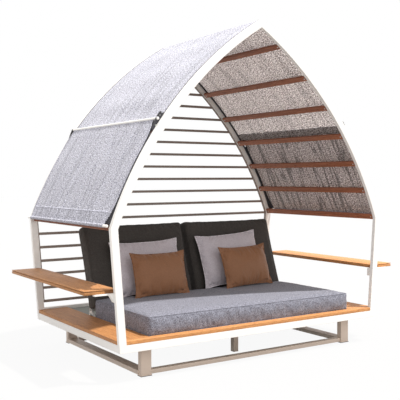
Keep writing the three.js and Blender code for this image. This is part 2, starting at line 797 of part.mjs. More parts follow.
// Lowers a frame until the piece in it rests on the crown of the mattress.
function settle(frame, piece) {
  daybed.updateMatrixWorld(true);
  const point = new THREE.Vector3();
  const places = piece.geometry.attributes.position;
  let least = Infinity;
  for (let i = 0; i < places.count; i += 1) {
    point.fromBufferAttribute(places, i).applyMatrix4(piece.matrixWorld);
    const u = (2 * point.x) / mattressForm.width;
    const v = (2 * (point.y - mattressMiddleY)) / mattressForm.height;
    const crown = Math.max(0, mattressForm.crown * (1 - u ** 2) * (1 - v ** 2));
    least = Math.min(least, point.z - mattressTop - crown);
  }
  frame.position.z -= least - seat;
}

function addPillows() {
  for (const [name, shape] of Object.entries(pillowForms)) {
    const form = { ...shape, shoulderX: shape.width / 2, shoulderY: shape.height / 2, crown: 0 };
    form.band = seamThickness;
    const xs = spread(form.width, form.shoulderX, pillowSteps, 0);
    const ys = spread(form.height, form.shoulderY, pillowSteps, 0);
    const roll = THREE.MathUtils.degToRad(shape.roll);
    const middle = (name.startsWith('left') ? sides.left : sides.right) * backMiddleX;
    const frame = new THREE.Group();
    frame.position.set(middle + shape.across, mattressRearY - shape.ahead, mattressTop);
    frame.rotation.order = 'ZYX';
    frame.rotation.x = -THREE.MathUtils.degToRad(shape.lean);
    frame.rotation.z = THREE.MathUtils.degToRad(shape.turn);
    daybed.add(frame);
    const finish = name.endsWith('rear') ? paleCloth : brownCloth;
    const pillow = add(`pillow_${name}`, stuffedGeometry(form, xs, ys), finish, frame);
    pillow.rotation.set(Math.PI / 2, roll, 0, 'YXZ');
    pillow.position.z = shape.height / 2;
    settle(frame, pillow);
  }
}

addArches();
addRearScreen();
addDeck();
addUnderframe();
addCentreSupport();
addTracks();
addBattens();
addRoof();
addSidePanels();
addShelves();
addMattress();
addBacks();
addPillows();

export default daybed;
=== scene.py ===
"""Looks of an outdoor daybed with a canopy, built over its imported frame.

Metres: the floor is z = 0, the open front is -Y and the right is +X."""
import json
import math

import bmesh
import bpy
from mathutils import Matrix, Vector, noise
from mathutils.bvhtree import BVHTree
from mathutils.kdtree import KDTree


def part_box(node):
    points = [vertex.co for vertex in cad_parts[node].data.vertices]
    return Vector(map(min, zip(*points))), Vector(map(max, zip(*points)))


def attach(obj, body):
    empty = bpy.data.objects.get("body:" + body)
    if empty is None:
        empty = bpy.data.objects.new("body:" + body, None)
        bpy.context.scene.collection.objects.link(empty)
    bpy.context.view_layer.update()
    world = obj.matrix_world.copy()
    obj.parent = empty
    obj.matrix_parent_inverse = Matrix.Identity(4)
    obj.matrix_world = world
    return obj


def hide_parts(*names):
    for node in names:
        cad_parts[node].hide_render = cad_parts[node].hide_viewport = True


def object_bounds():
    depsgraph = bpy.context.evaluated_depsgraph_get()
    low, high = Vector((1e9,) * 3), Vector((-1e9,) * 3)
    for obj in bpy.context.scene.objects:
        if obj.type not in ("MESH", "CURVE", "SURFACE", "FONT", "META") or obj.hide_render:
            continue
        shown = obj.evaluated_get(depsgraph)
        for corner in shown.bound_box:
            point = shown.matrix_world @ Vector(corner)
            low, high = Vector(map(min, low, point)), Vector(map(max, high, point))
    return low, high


bl_info = {
    "name": "Canopy Daybed",
    "version": (1, 0, 0),
    "blender": (4, 5, 0),
    "location": "View3D > Sidebar > Daybed",
    "description": "Dresses an outdoor daybed: frame, timber, canopy, cushions and pillows",
    "category": "Add Mesh",
}

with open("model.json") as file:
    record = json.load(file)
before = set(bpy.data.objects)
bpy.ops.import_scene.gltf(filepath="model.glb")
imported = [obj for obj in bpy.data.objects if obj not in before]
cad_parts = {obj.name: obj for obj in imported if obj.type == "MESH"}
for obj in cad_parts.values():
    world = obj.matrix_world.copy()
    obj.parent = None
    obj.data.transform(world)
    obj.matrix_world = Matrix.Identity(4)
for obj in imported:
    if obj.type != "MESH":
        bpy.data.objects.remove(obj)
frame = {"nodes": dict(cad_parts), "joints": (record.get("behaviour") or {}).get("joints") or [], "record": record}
CAD_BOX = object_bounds()
JOINTS = {joint["name"]: joint for joint in frame["joints"]}
BODY_OF = {
    node: body
    for body, nodes in frame["record"]["behaviour"]["bodies"].items()
    for node in nodes
}
SLOT_OF = {part["node"]: part["material_slot"] for part in frame["record"]["subparts"]}
SIDES = {"left": -1, "right": 1}

# Each curved half of the arches turns about a centre past the other side.
CURVE_CENTRE = Vector(JOINTS["canopy_right_slide"]["pos_m"])
OUTER_RADIUS = math.hypot(CURVE_CENTRE.x, CAD_BOX[1].z - CURVE_CENTRE.z)
ROD_RADIUS = 0.009
MERGE_DISTANCE = 2e-5
UNDER_CANOPY = Vector((0, 0, 1))


def linear(hex_colour):
    """Turns an sRGB hex colour into linear red, green and blue."""
    shares = [int(hex_colour[i : i + 2], 16) / 255 for i in (1, 3, 5)]
    return tuple(s / 12.92 if s <= 0.04045 else ((s + 0.055) / 1.055) ** 2.4 for s in shares)


def colour(name, description, hex_colour):
    return bpy.props.FloatVectorProperty(
        name=name, description=description, default=linear(hex_colour), subtype="COLOR", min=0, max=1
    )


def length(name, description, metres):
    return bpy.props.FloatProperty(
        name=name, description=description, default=metres, min=0, unit="LENGTH", subtype="DISTANCE"
    )


class DaybedColours(bpy.types.PropertyGroup):
    """Colours of the daybed's finishes."""

    frame_white: colour("Frame white", "Powder coat of arches, rails, rods and brackets", "#f6f6f4")
    frame_taupe: colour("Frame taupe", "Powder coat of the legs and runners", "#ddccbd")
    # The slats' grey brown is partly their coat and partly painted shade, as they stand under the canopy.
    screen: colour("Screen", "Powder coat of the rear slats", "#93867e")
    moulded_black: colour("Moulded black", "Tracks, carriages and foot pads", "#34343a")
    teak: colour("Teak", "Oiled teak of deck and shelves", "#d6985c")
    teak_vein: colour("Teak vein", "Dark growth lines in the teak", "#8f5730")
    # The batten teak is darker and redder than the deck's teak: painted shade under the roof cloth.
    batten: colour("Batten teak", "Redder teak of the roof battens", "#a8694a")
    batten_vein: colour("Batten vein", "Dark growth lines in the battens", "#5c3020")
    platform: colour("Platform", "Coated panel under the mattress", "#8b908c")
    canopy_light: colour("Canopy light", "Pale yarn of the canopy cloth", "#d8dae7")
    canopy_dark: colour("Canopy dark", "Dark yarn of the canopy cloth", "#737584")
    # The canopy's inner face has the same yarns as the outside. These colours are warmer, the pale one lighter:
    # painted light shining through the cloth.
    canopy_backlit_light: colour("Canopy backlit light", "Pale yarn on the canopy's inner face", "#eee7e6")
    canopy_backlit_dark: colour("Canopy backlit dark", "Dark yarn on the canopy's inner face", "#6f6664")
    mattress_light: colour("Mattress light", "Pale yarn of the mattress cover", "#999ba8")
    mattress_dark: colour("Mattress dark", "Dark yarn of the mattress cover", "#4c4d59")
    charcoal_light: colour("Charcoal light", "Pale yarn of the back cushions", "#4d4946")
    charcoal_dark: colour("Charcoal dark", "Dark yarn of the back cushions", "#312e2b")
    pale_light: colour("Pale pillow light", "Pale yarn of the rear pillows", "#d8d2d8")
    pale_dark: colour("Pale pillow dark", "Dark yarn of the rear pillows", "#b4adb5")
    brown_light: colour("Brown pillow light", "Pale yarn of the front pillows", "#9c6d4a")
    brown_dark: colour("Brown pillow dark", "Dark yarn of the front pillows", "#795137")
    steel: colour("Steel", "Stainless screws", "#c9c9c6")


class DaybedFrameSizes(bpy.types.PropertyGroup):
    """Sizes of what finishes the hard pieces."""

    tube_edge: length("Tube edge", "Radius of the edges of the metal tubes", 0.0022)
    board_edge: length("Board edge", "Radius of the edges of the boards", 0.003)
    fine_edge: length("Fine edge", "Radius of the edges of small fittings", 0.0012)
    screw: length("Screw head", "Radius of a screw head", 0.0055)
    bolt: length("Bolt head", "Radius of a bolt head", 0.0085)
    cap_rise: length("Rod cap rise", "How far the cap of a rod bulges", 0.006)
    pad_height: length("Foot pad", "Height of the dark pad round a foot plate", 0.004)
    shelf_top: length("Shelf top", "Thickness of a shelf's top board", 0.006)
    shelf_groove: length("Shelf groove", "Height of the groove under a shelf's top board", 0.0035)
    shelf_recess: length("Shelf recess", "How far a shelf's core stands back from its edges", 0.012)
    lipping_share: bpy.props.FloatProperty(
        name="Lipping share",
        description="Share of a shelf's width, from its inner edge, that has no lipping",
        default=0.34,
        min=0,
        max=1,
    )


class DaybedClothSizes(bpy.types.PropertyGroup):
    """Sizes of the canopy's cloth and seams."""

    thickness: length("Cloth thickness", "Thickness of the canopy cloth", 0.0016)
    roof_sag: length("Roof sag", "Sag of the roof cloth between battens", 0.0045)
    lie: length("Panel lie", "Height at which a side panel lies over the tracks", 0.003)
    crease: length("Crease height", "Height of the creases in the cloth", 0.006)
    hem: length("Bottom hem", "Height of the doubled hem over the lower rod", 0.096)
    overlap: length("Fold hem", "Width of the doubled hem at the fold", 0.062)
    side_hem: length("Side hem", "Width of the doubled edge beside the arches", 0.022)
    bottom_in: length("Bottom drawn in", "How far the bottom corners are drawn in", 0.036)
    top_in: length("Top drawn in", "How far the top corners are drawn in", 0.037)
    drawn_run: length("Drawn run", "Height over which the corners are drawn in", 0.17)
    stitch: length("Stitch", "Length of one stitch", 0.009)


class DaybedPaddingSizes(bpy.types.PropertyGroup):
    """Sizes of the mattress, cushions and pillows."""

    mattress_cell: length("Mattress cell", "Mesh size of the mattress cover", 0.013)
    cushion_cell: length("Cushion cell", "Mesh size of a back cushion's cover", 0.011)
    pillow_cell: length("Pillow cell", "Mesh size of a pillow's cover", 0.0095)
    mattress_edge: length("Mattress edge", "Radius of the mattress's edges", 0.012)
    cushion_edge: length("Cushion edge", "Radius of a back cushion's edges", 0.024)
    piping: length("Piping", "Radius of the piped seams", 0.0026)
    pillow_piping: length("Pillow piping", "Radius of a pillow's piped seam", 0.0034)
    swell: length("Swell", "How far a cover may swell out of its form", 0.008)
    pillow_drawn: length("Pillow drawn in", "How far a pillow's sides draw in", 0.025)
    pucker: length("Pucker", "Height of the folds at a pillow's seam", 0.009)
    pillow_corner: length("Pillow corner", "How far a pillow's corners are rounded off", 0.007)
    pillow_give: bpy.props.FloatProperty(
        name="Pillow give",
        description="Share by which a pillow's cover is cut larger",
        default=0.05,
        min=0,
        max=0.3,
    )


def add_node(owner, kind, inputs=(), **settings):
    """Adds a shader node, sets its properties and fills its sockets with values or outputs."""
    tree = owner.node_tree
    node = tree.nodes.new("ShaderNode" + kind)
    for name, value in settings.items():
        setattr(node, name, value)
    for socket, value in dict(inputs).items():
        if isinstance(value, bpy.types.NodeSocket):
            tree.links.new(value, node.inputs[socket])
        else:
            node.inputs[socket].default_value = value
    return node


def start_material(name):
    """An empty material with a Principled shader. Gives both."""
    material = bpy.data.materials.new(name)
    material.use_nodes = True
    material.node_tree.nodes.clear()
    shader = add_node(material, "BsdfPrincipled")
    add_node(material, "OutputMaterial", {"Surface": shader.outputs["BSDF"]})
    return material, shader


def join(material, output, shader, socket):
    material.node_tree.links.new(output, shader.inputs[socket])


def opaque(rgb):
    return (*rgb, 1.0)


def shade(rgb, factor):
    """The same colour, lighter or darker."""
    return tuple(min(1.0, channel * factor) for channel in rgb)


def grained_finish(name, rgb, grain, patch, tones, relief, roughness):
    """A finish with a fine even grain and a faint change of tone.

    Grain and patch are the scale and detail of a noise, tones the darkest and lightest share of the
    colour, and relief the strength and depth of the grain."""
    material, shader = start_material(name)
    place = add_node(material, "TexCoord").outputs["Object"]
    skin = add_node(material, "TexNoise", {"Vector": place, "Scale": grain[0], "Detail": grain[1]})
    cloud = add_node(material, "TexNoise", {"Vector": place, "Scale": patch[0], "Detail": patch[1]})
    dark, light = (opaque(shade(rgb, tone)) for tone in tones)
    tint = add_node(
        material, "Mix", {0: cloud.outputs["Fac"], 6: dark, 7: light}, data_type="RGBA"
    )
    bump = add_node(
        material,
        "Bump",
        {"Height": skin.outputs["Fac"], "Strength": relief[0], "Distance": relief[1]},
    )
    join(material, tint.outputs[2], shader, "Base Color")
    join(material, bump.outputs["Normal"], shader, "Normal")
    shader.inputs["Roughness"].default_value = roughness
    return material


# Powder coat on aluminium is sprayed as dry paint and baked. It hides the metal, has an even satin
# gloss and a very fine orange peel. The peel is drawn at 6 to 10 mm, coarser than it is, so that it
# shows.
def powder_coat(name, rgb, roughness=0.38, peel=0.006):
    grain, patch = (1 / peel, 2.0), (2.5, 3.0)
    return grained_finish(name, rgb, grain, patch, (0.955, 1.02), (0.12, 0.0004), roughness)


# Moulded nylon comes from a spark-eroded mould, which leaves a fine even grain, about 1 mm here, and
# a dull gloss.
def moulded_nylon(name, rgb):
    return grained_finish(name, rgb, (900.0, 2.0), (14.0, 4.0), (0.8, 1.25), (0.25, 0.0003), 0.5)


# Compact panel with a rolled grey coat: flat, with faint roller stipple 4 mm apart and dull gloss.
def coated_panel(name, rgb):
    return grained_finish(name, rgb, (240.0, 3.0), (5.0, 3.0), (0.92, 1.06), (0.2, 0.0005), 0.68)


# Oiled teak is planed along the grain. Growth lines 5 to 12 mm apart wander along the board, short
# dark pores follow them, and each board has its own tone. The oil leaves a low sheen.
def oiled_teak(name, rgb, vein, along, seed):
    material, shader = start_material(name)
    place = add_node(material, "TexCoord").outputs["Object"]
    stretched = [1.0, 1.0, 1.0]
    stretched["XYZ".index(along)] = 0.045
    run = add_node(
        material,
        "Mapping",
        {"Vector": place, "Location": (seed * 0.37, seed * 0.91, seed * 0.53), "Scale": stretched},
    ).outputs["Vector"]
    broad = add_node(material, "TexNoise", {"Vector": run, "Scale": 18.0, "Detail": 2.0})
    lines = add_node(
        material,
        "TexNoise",
        {"Vector": run, "Scale": 110.0, "Detail": 4.0, "Roughness": 0.62, "Distortion": 0.35},
    )
    pores = add_node(material, "TexNoise", {"Vector": run, "Scale": 620.0, "Detail": 1.0})
    sharp = add_node(
        material,
        "MapRange",
        {"Value": lines.outputs["Fac"], "From Min": 0.36, "From Max": 0.66},
        interpolation_type="SMOOTHSTEP",
    )
    plain = add_node(
        material,
        "Mix",
        {0: broad.outputs["Fac"], 6: opaque(shade(rgb, 0.86)), 7: opaque(shade(rgb, 1.14))},
        data_type="RGBA",
    )
    figure = add_node(
        material,
        "Mix",
        {0: sharp.outputs["Result"], 6: opaque(vein), 7: plain.outputs[2]},
        data_type="RGBA",
    )
    soft = add_node(
        material, "Mix", {0: 0.62, 6: figure.outputs[2], 7: plain.outputs[2]}, data_type="RGBA"
    )
    pore_mask = add_node(
        material, "MapRange", {"Value": pores.outputs["Fac"], "From Min": 0.3, "From Max": 0.42}
    )
    final = add_node(
        material,
        "Mix",
        {0: pore_mask.outputs["Result"], 6: opaque(shade(vein, 0.85)), 7: soft.outputs[2]},
        data_type="RGBA",
    )
    bump = add_node(
        material, "Bump", {"Height": lines.outputs["Fac"], "Strength": 0.3, "Distance": 0.0008}
    )
    gloss = add_node(
        material,
        "MapRange",
        {"Value": lines.outputs["Fac"], "To Min": 0.62, "To Max": 0.46},
    )
    join(material, final.outputs[2], shader, "Base Color")
    join(material, bump.outputs["Normal"], shader, "Normal")
    join(material, gloss.outputs["Result"], shader, "Roughness")
    return material


# Turned stainless steel: bright, with a fine uneven gloss left by the tool.
def turned_steel(name, rgb):
    material, shader = start_material(name)
    place = add_node(material, "TexCoord").outputs["Object"]
    marks = add_node(material, "TexNoise", {"Vector": place, "Scale": 1500.0, "Detail": 1.0})
    gloss = add_node(
        material, "MapRange", {"Value": marks.outputs["Fac"], "To Min": 0.24, "To Max": 0.42}
    )
    join(material, gloss.outputs["Result"], shader, "Roughness")
    shader.inputs["Base Color"].default_value = opaque(rgb)
    shader.inputs["Metallic"].default_value = 1.0
    return material


# Outdoor cloth of spun acrylic, woven plain from pale and dark yarns that cross. Each yarn is a
# melange, so short flecks of both run along warp and weft. Real yarns are under a millimetre and
# flecks 3 to 4 mm: they are drawn up to twice as coarse, so that the render shows them. Fine lines,
# where the cloth was folded, run some 80 mm apart along the second axis of the map; they are raised
# as relief and painted darker, painted shade in the creases. Sateen has long floats that lie flat,
# so it is smoother. Light shines through a thin cloth, which glow stands for.
def woven_cloth(name, light, dark, fleck, contrast, weave_map=None, fold_shade=0.0, glow=0.0, satin=0.0):
    material, shader = start_material(name)
    if weave_map:
        place = add_node(material, "UVMap", uv_map=weave_map).outputs["UV"]
    else:
        place = add_node(material, "TexCoord").outputs["Object"]
    short, long = 1 / fleck, 0.42 / fleck
    fold_along, fold_across, fold_slant = 1.3, 13.0, 0.14
    warp_place = add_node(
        material, "Mapping", {"Vector": place, "Scale": (short, long, long)}
    ).outputs["Vector"]
    weft_place = add_node(
        material, "Mapping", {"Vector": place, "Scale": (long, short, short), "Location": (7, 3, 5)}
    ).outputs["Vector"]
    warp = add_node(material, "TexNoise", {"Vector": warp_place, "Scale": 1.0, "Detail": 2.0})
    weft = add_node(material, "TexNoise", {"Vector": weft_place, "Scale": 1.0, "Detail": 2.0})
    crossed = add_node(
        material, "Math", {0: warp.outputs["Fac"], 1: weft.outputs["Fac"]}, operation="ADD"
    )
    spread = 0.36 / contrast
    flecks = add_node(
        material,
        "MapRange",
        {"Value": crossed.outputs[0], "From Min": 1 - spread, "From Max": 1 + spread},
    )
    body = add_node(
        material,
        "Mix",
        {0: flecks.outputs["Result"], 6: opaque(dark), 7: opaque(light)},
        data_type="RGBA",
    )
    cloud = add_node(material, "TexNoise", {"Vector": place, "Scale": 3.2, "Detail": 3.0})
    slanted = add_node(
        material,
        "Mapping",
        {
            "Vector": place,
            "Rotation": (0, 0, fold_slant),
            "Scale": (fold_across, fold_along, fold_along),
        },
    )
    fold = add_node(
        material,
        "TexNoise",
        {"Vector": slanted.outputs["Vector"], "Scale": 1.0, "Detail": 1.5, "Roughness": 0.4},
    )
    off = add_node(material, "Math", {0: fold.outputs["Fac"], 1: 0.5}, operation="SUBTRACT")
    near = add_node(material, "Math", {0: off.outputs[0]}, operation="ABSOLUTE")
    # Painted shade: near a fold line the colour is darkened by up to the given share.
    fold_line_shade = add_node(
        material,
        "MapRange",
        {"Value": near.outputs[0], "From Max": 0.045, "To Min": 1 - fold_shade},
        interpolation_type="SMOOTHSTEP",
    )
    faded = add_node(
        material, "MapRange", {"Value": cloud.outputs["Fac"], "To Min": 0.93, "To Max": 1.05}
    )
    # Painted shade at the fold lines, times a random change of tone.
    fold_shade_and_fading = add_node(
        material,
        "Math",
        {0: fold_line_shade.outputs["Result"], 1: faded.outputs["Result"]},
        operation="MULTIPLY",
    )
    final = add_node(
        material,
        "VectorMath",
        {0: body.outputs[2], "Scale": fold_shade_and_fading.outputs[0]},
        operation="SCALE",
    )
    bump = add_node(
        material, "Bump", {"Height": crossed.outputs[0], "Strength": 0.45, "Distance": 0.0008}
    )
    if fold_shade:
        bump = add_node(
            material,
            "Bump",
            {
                "Height": fold_line_shade.outputs["Result"],
                "Strength": 0.5,
                "Distance": 0.0012 / fold_shade + 0.012,
                "Normal": bump.outputs["Normal"],
            },
        )
    join(material, final.outputs["Vector"], shader, "Base Color")
    join(material, bump.outputs["Normal"], shader, "Normal")
    shader.inputs["Roughness"].default_value = 0.9 - satin
    if glow:
        shader.inputs["Subsurface Weight"].default_value = glow
        shader.inputs["Subsurface Radius"].default_value = (1.0, 1.0, 1.0)
        shader.inputs["Subsurface Scale"].default_value = 0.007 * glow
    shader.inputs["Sheen Weight"].default_value = 0.12
    shader.inputs["Sheen Roughness"].default_value = 0.6
    shader.inputs["Specular IOR Level"].default_value = 0.3
    return material


def new_piece(name, mesh, material, body):
    """Links a finished mesh and lets it ride on a body."""
    piece = bpy.data.objects.new(name, mesh)
    bpy.context.scene.collection.objects.link(piece)
    mesh.materials.clear()
    mesh.materials.append(material)
    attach(piece, body)
    return piece


def mesh_from(bm, name, smooth=True):
    """Writes a bmesh out as a mesh and frees it."""
    for face in bm.faces:
        face.smooth = smooth
    mesh = bpy.data.meshes.new(name)
    bm.to_mesh(mesh)
    bm.free()
    return mesh


def merged_copy(node):
    """A bmesh of a CAD node with its doubled corners merged."""
    bm = bmesh.new()
    bm.from_mesh(frame["nodes"][node].data)
    bmesh.ops.remove_doubles(bm, verts=bm.verts, dist=MERGE_DISTANCE)
    return bm


def round_edges(bm, edges, radius, segments=2, clamp=False):
    bmesh.ops.bevel(
        bm,
        geom=edges,
        offset=radius,
        affect="EDGES",
        segments=segments,
        profile=0.5,
        material=-1,
        clamp_overlap=clamp,
    )


def eased(node, radius, material, segments=2):
    """The same piece as a CAD node, with its sharp edges rounded, in place of the node."""
    flat, kink, sharp = (math.radians(angle) for angle in (0.4, 6, 32))
    bm = merged_copy(node)
    bmesh.ops.dissolve_limit(
        bm, angle_limit=flat, verts=bm.verts, edges=bm.edges, delimit={"NORMAL"}
    )
    edges = []
    for edge in bm.edges:
        turn = edge.calc_face_angle(0)
        if turn > sharp:
            edges.append(edge)
        elif turn > kink:
            edge.smooth = False
    round_edges(bm, edges, radius, segments, clamp=True)
    mesh = mesh_from(bm, node + "_finished")
    piece = new_piece(node + "_finished", mesh, material, BODY_OF[node])
    evened = piece.modifiers.new("Even normals", "WEIGHTED_NORMAL")
    evened.keep_sharp = True
    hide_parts(node)


def middle_of(node):
    low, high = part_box(node)
    return (low + high) / 2


def facing(place, direction):
    """A matrix that moves to a place and turns Z to a direction."""
    turned = direction.normalized().to_track_quat("Z", "Y").to_matrix().to_4x4()
    return Matrix.Translation(place) @ turned


def dome(bm, place, direction, radius, rise):
    """A rod's low round cap, centred on a place."""
    made = bmesh.ops.create_uvsphere(bm, u_segments=14, v_segments=8, radius=1.0)
    shape = facing(place, direction) @ Matrix.Diagonal((radius, radius, rise, 1.0))
    bmesh.ops.transform(bm, matrix=shape, verts=made["verts"])


def socket_head(bm, place, direction, radius):
    """A round head with a recessed drive, its flat side at a place."""
    height, drive, drive_depth = radius * 0.45, radius * 0.4, radius * 0.3
    before = set(bm.verts)
    made = bmesh.ops.create_circle(bm, cap_ends=True, radius=radius, segments=16)
    base = made["verts"][0].link_faces[0]
    raised = bmesh.ops.extrude_face_region(bm, geom=[base])
    top = [item for item in raised["geom"] if isinstance(item, bmesh.types.BMVert)]
    cap = [item for item in raised["geom"] if isinstance(item, bmesh.types.BMFace)]
    bmesh.ops.translate(bm, vec=(0, 0, height), verts=top)
    bmesh.ops.scale(bm, vec=(0.82, 0.82, 1), verts=top)
    bmesh.ops.inset_region(bm, faces=cap, thickness=drive)
    bmesh.ops.translate(bm, vec=(0, 0, -drive_depth), verts=cap[0].verts)
    grown = [vertex for vertex in bm.verts if vertex not in before]
    bmesh.ops.transform(bm, matrix=facing(place, direction), verts=grown)


def fasteners(name, heads, material, body):
    """One mesh of screw heads, each given as place, direction and radius."""
    bm = bmesh.new()
    for place, direction, radius in heads:
        socket_head(bm, Vector(place), Vector(direction), radius)
    bmesh.ops.recalc_face_normals(bm, faces=bm.faces)
    return new_piece(name, mesh_from(bm, name, smooth=False), material, body)


def piping_along(name, points, radius, material, body):
    """A round piped seam along a closed ring of points, made from a curve."""
    curve = bpy.data.curves.new(name, "CURVE")
    curve.dimensions = "3D"
    curve.bevel_depth = radius
    curve.bevel_resolution = 2
    spline = curve.splines.new("POLY")
    spline.points.add(len(points) - 1)
    for spot, point in zip(spline.points, points):
        spot.co = (*point, 1)
    spline.use_cyclic_u = True
    holder = bpy.data.objects.new(name + "_path", curve)
    bpy.context.scene.collection.objects.link(holder)
    depsgraph = bpy.context.evaluated_depsgraph_get()
    mesh = bpy.data.meshes.new_from_object(holder.evaluated_get(depsgraph))
    bpy.data.objects.remove(holder)
    mesh.polygons.foreach_set("use_smooth", [True] * len(mesh.polygons))
    return new_piece(name, mesh, material, body)


def stitches(name, points, size, material, body, normal_of):
    """Short raised stitches with small gaps between them, along a path."""
    pitch, thread, lift = size * 1.45, size * 0.11, size * 0.08
    bm = bmesh.new()
    total = 0.0
    for start, end in zip(points, points[1:]):
        total += (end - start).length
        if total < pitch:
            continue
        total = 0.0
        middle = (start + end) / 2
        made = bmesh.ops.create_cone(
            bm, cap_ends=True, segments=5, radius1=thread, radius2=thread, depth=size
        )
        lifted = middle + normal_of(middle) * lift
        bmesh.ops.transform(bm, matrix=facing(lifted, end - start), verts=made["verts"])
    return new_piece(name, mesh_from(bm, name), material, body)


class DAYBED_OT_frame(bpy.types.Operator):
    """Arches, rails, rods and brackets in white powder coat"""

    bl_idname = "daybed.frame"
    bl_label = "White frame"

    def execute(self, context):
        sizes = context.scene.daybed_frame
        colours = context.scene.daybed_colours
        white = powder_coat("powder coated aluminium white", colours.frame_white)
        steel = turned_steel("stainless screws", colours.steel)
        for node in ("arch_front", "arch_rear", "side_rail_left", "side_rail_right"):
            eased(node, sizes.tube_edge, white)
        for node in sorted(frame["nodes"]):
            if node.startswith("shelf_bracket"):
                eased(node, sizes.fine_edge, white)
        self.rods(sizes, white)
        self.fixings(sizes, steel)
        return {"FINISHED"}

    def rods(self, sizes, white):
        """Round rods with a domed cap on each end."""
        for name in SIDES:
            for level in ("upper", "lower"):
                node = f"{level}_rod_{name}"
                low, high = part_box(node)
                bm = merged_copy(node)
                reach = high.y
                if level == "upper":
                    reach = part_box(f"carriage_{name}_rear")[1].y
                for way in (-1, 1):
                    place = Vector(((low.x + high.x) / 2, way * reach, (low.z + high.z) / 2))
                    dome(bm, place, Vector((0, way, 0)), ROD_RADIUS * 1.1, sizes.cap_rise)
                for edge in bm.edges:
                    edge.smooth = edge.calc_face_angle(0) < math.radians(50)
                mesh = mesh_from(bm, node + "_finished")
                piece = new_piece(node + "_finished", mesh, white, BODY_OF[node])
                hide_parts(node)

    def fixings(self, sizes, steel):
        """Two bolts through each shelf bracket."""
        bolt_in, bolt_down, bolt_up = 0.022, 0.018, 0.016
        heads = []
        for name, side in SIDES.items():
            for end in ("front", "rear"):
                low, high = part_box(f"shelf_bracket_{name}_{end}")
                inside = -1 if end == "rear" else 1
                face = low.y if end == "rear" else high.y
                x = (low.x if side > 0 else high.x) + side * bolt_in
                for z in (high.z - bolt_down, low.z + bolt_up):
                    heads.append(((x, face, z), (0, inside, 0), sizes.screw))
        fasteners("bracket_bolts", heads, steel, "bed")


class DAYBED_OT_screen(bpy.types.Operator):
    """Slatted screen inside the rear arch"""

    bl_idname = "daybed.screen"
    bl_label = "Rear screen"

    def execute(self, context):
        sizes = context.scene.daybed_frame
        colours = context.scene.daybed_colours
        coat = powder_coat("powder coated aluminium grey brown", colours.screen, 0.45)
        eased("rear_screen", sizes.fine_edge, coat)
        return {"FINISHED"}


class DAYBED_OT_timber(bpy.types.Operator):
    """Deck boards, shelves and roof battens of oiled teak"""

    bl_idname = "daybed.timber"
    bl_label = "Timber"

    def execute(self, context):
        sizes = context.scene.daybed_frame
        colours = context.scene.daybed_colours
        teak, vein = colours.teak, colours.teak_vein
        # The left board is darker: painted shade from the canopy. The front board is a little lighter: painted
        # sunlight.
        boards = (
            ("deck_board_left", 0.82, "Y", 1),
            ("deck_board_right", 1.0, "Y", 3),
            ("deck_board_front", 1.04, "X", 4),
        )
        for node, tone, along, seed in boards:
            finish = oiled_teak(f"oiled teak {node}", shade(teak, tone), shade(vein, tone), along, seed)
            eased(node, sizes.board_edge, finish)
        # The left shelf is darker: painted shade from the canopy. The right one is a little lighter: painted
        # sunlight. Each core is darker still: painted shade in its recess.
        for name, tone, seed in (("left", 0.74, 7), ("right", 1.04, 9)):
            top = oiled_teak(f"oiled teak shelf {name}", shade(teak, tone), shade(vein, tone), "Y", seed)
            under = oiled_teak(
                f"oiled teak shelf core {name}", shade(teak, tone * 0.7), shade(vein, 0.7), "Y", seed + 1
            )
            self.shelf(sizes, name, top, under)
        # Three random tones of the batten colour, which itself paints the shade under the roof.
        tones = [
            oiled_teak(f"oiled teak batten {i}", shade(colours.batten, tone), colours.batten_vein, "Y", i)
            for i, tone in enumerate((0.95, 1.06, 1.0), start=11)
        ]
        battens = sorted(node for node in frame["nodes"] if node.startswith("batten"))
        for i, node in enumerate(battens):
            eased(node, sizes.board_edge * 0.7, tones[i % len(tones)])
        self.screws(context, battens)
        return {"FINISHED"}

    def shelf(self, sizes, name, finish, shaded_core_finish):
        """A thin top board, a groove under it, a lipping on the outer part and a core painted darker, as shade in
        its recess.
        """
        node = f"shelf_{name}"
        side = SIDES[name]
        low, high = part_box(node)
        inner, outer = (low.x, high.x) if side > 0 else (high.x, low.x)
        top = high.z - sizes.shelf_top
        under = top - sizes.shelf_groove
        lip = inner + side * abs(outer - inner) * sizes.lipping_share
        back = sizes.shelf_recess
        blocks = (
            ("top", (inner, outer), (low.y, high.y), (top, high.z), finish),
            ("lipping", (lip, outer), (low.y, high.y), (low.z, under), finish),
            ("core", (inner, outer - side * back), (low.y + back, high.y - back), (low.z, top), shaded_core_finish),
        )
        for kind, across, along, up, material in blocks:
            bm = bmesh.new()
            made = bmesh.ops.create_cube(bm, size=1.0)
            size = [abs(b - a) for a, b in (across, along, up)]
            middle = [(a + b) / 2 for a, b in (across, along, up)]
            if kind == "core":
                size[2] -= 2 * MERGE_DISTANCE
            shape = Matrix.Translation(middle) @ Matrix.Diagonal((*size, 1.0))
            bmesh.ops.transform(bm, matrix=shape, verts=made["verts"])
            round_edges(bm, bm.edges, sizes.fine_edge)
            piece = new_piece(f"{node}_{kind}", mesh_from(bm, f"{node}_{kind}"), material, "bed")
            if kind == "top":
                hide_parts(node)

    def screws(self, context, battens):
        """A screw in each end of a batten, on its inner face."""
        screw_in, half_thick = 0.022, 0.01
        sizes = context.scene.daybed_frame
        steel = turned_steel("stainless batten screws", context.scene.daybed_colours.steel)
        heads = []
        for node in battens:
            side = -1 if "left" in node else 1
            low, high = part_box(node)
            middle = (low + high) / 2
            out = Vector((side * (abs(middle.x) - CURVE_CENTRE.x), 0, middle.z - CURVE_CENTRE.z))
            out.normalize()
            for y in (low.y + screw_in, high.y - screw_in):
                place = middle - out * half_thick
                place.y = y
                heads.append((place, -out, sizes.screw))
        fasteners("batten_screws", heads, steel, "bed")


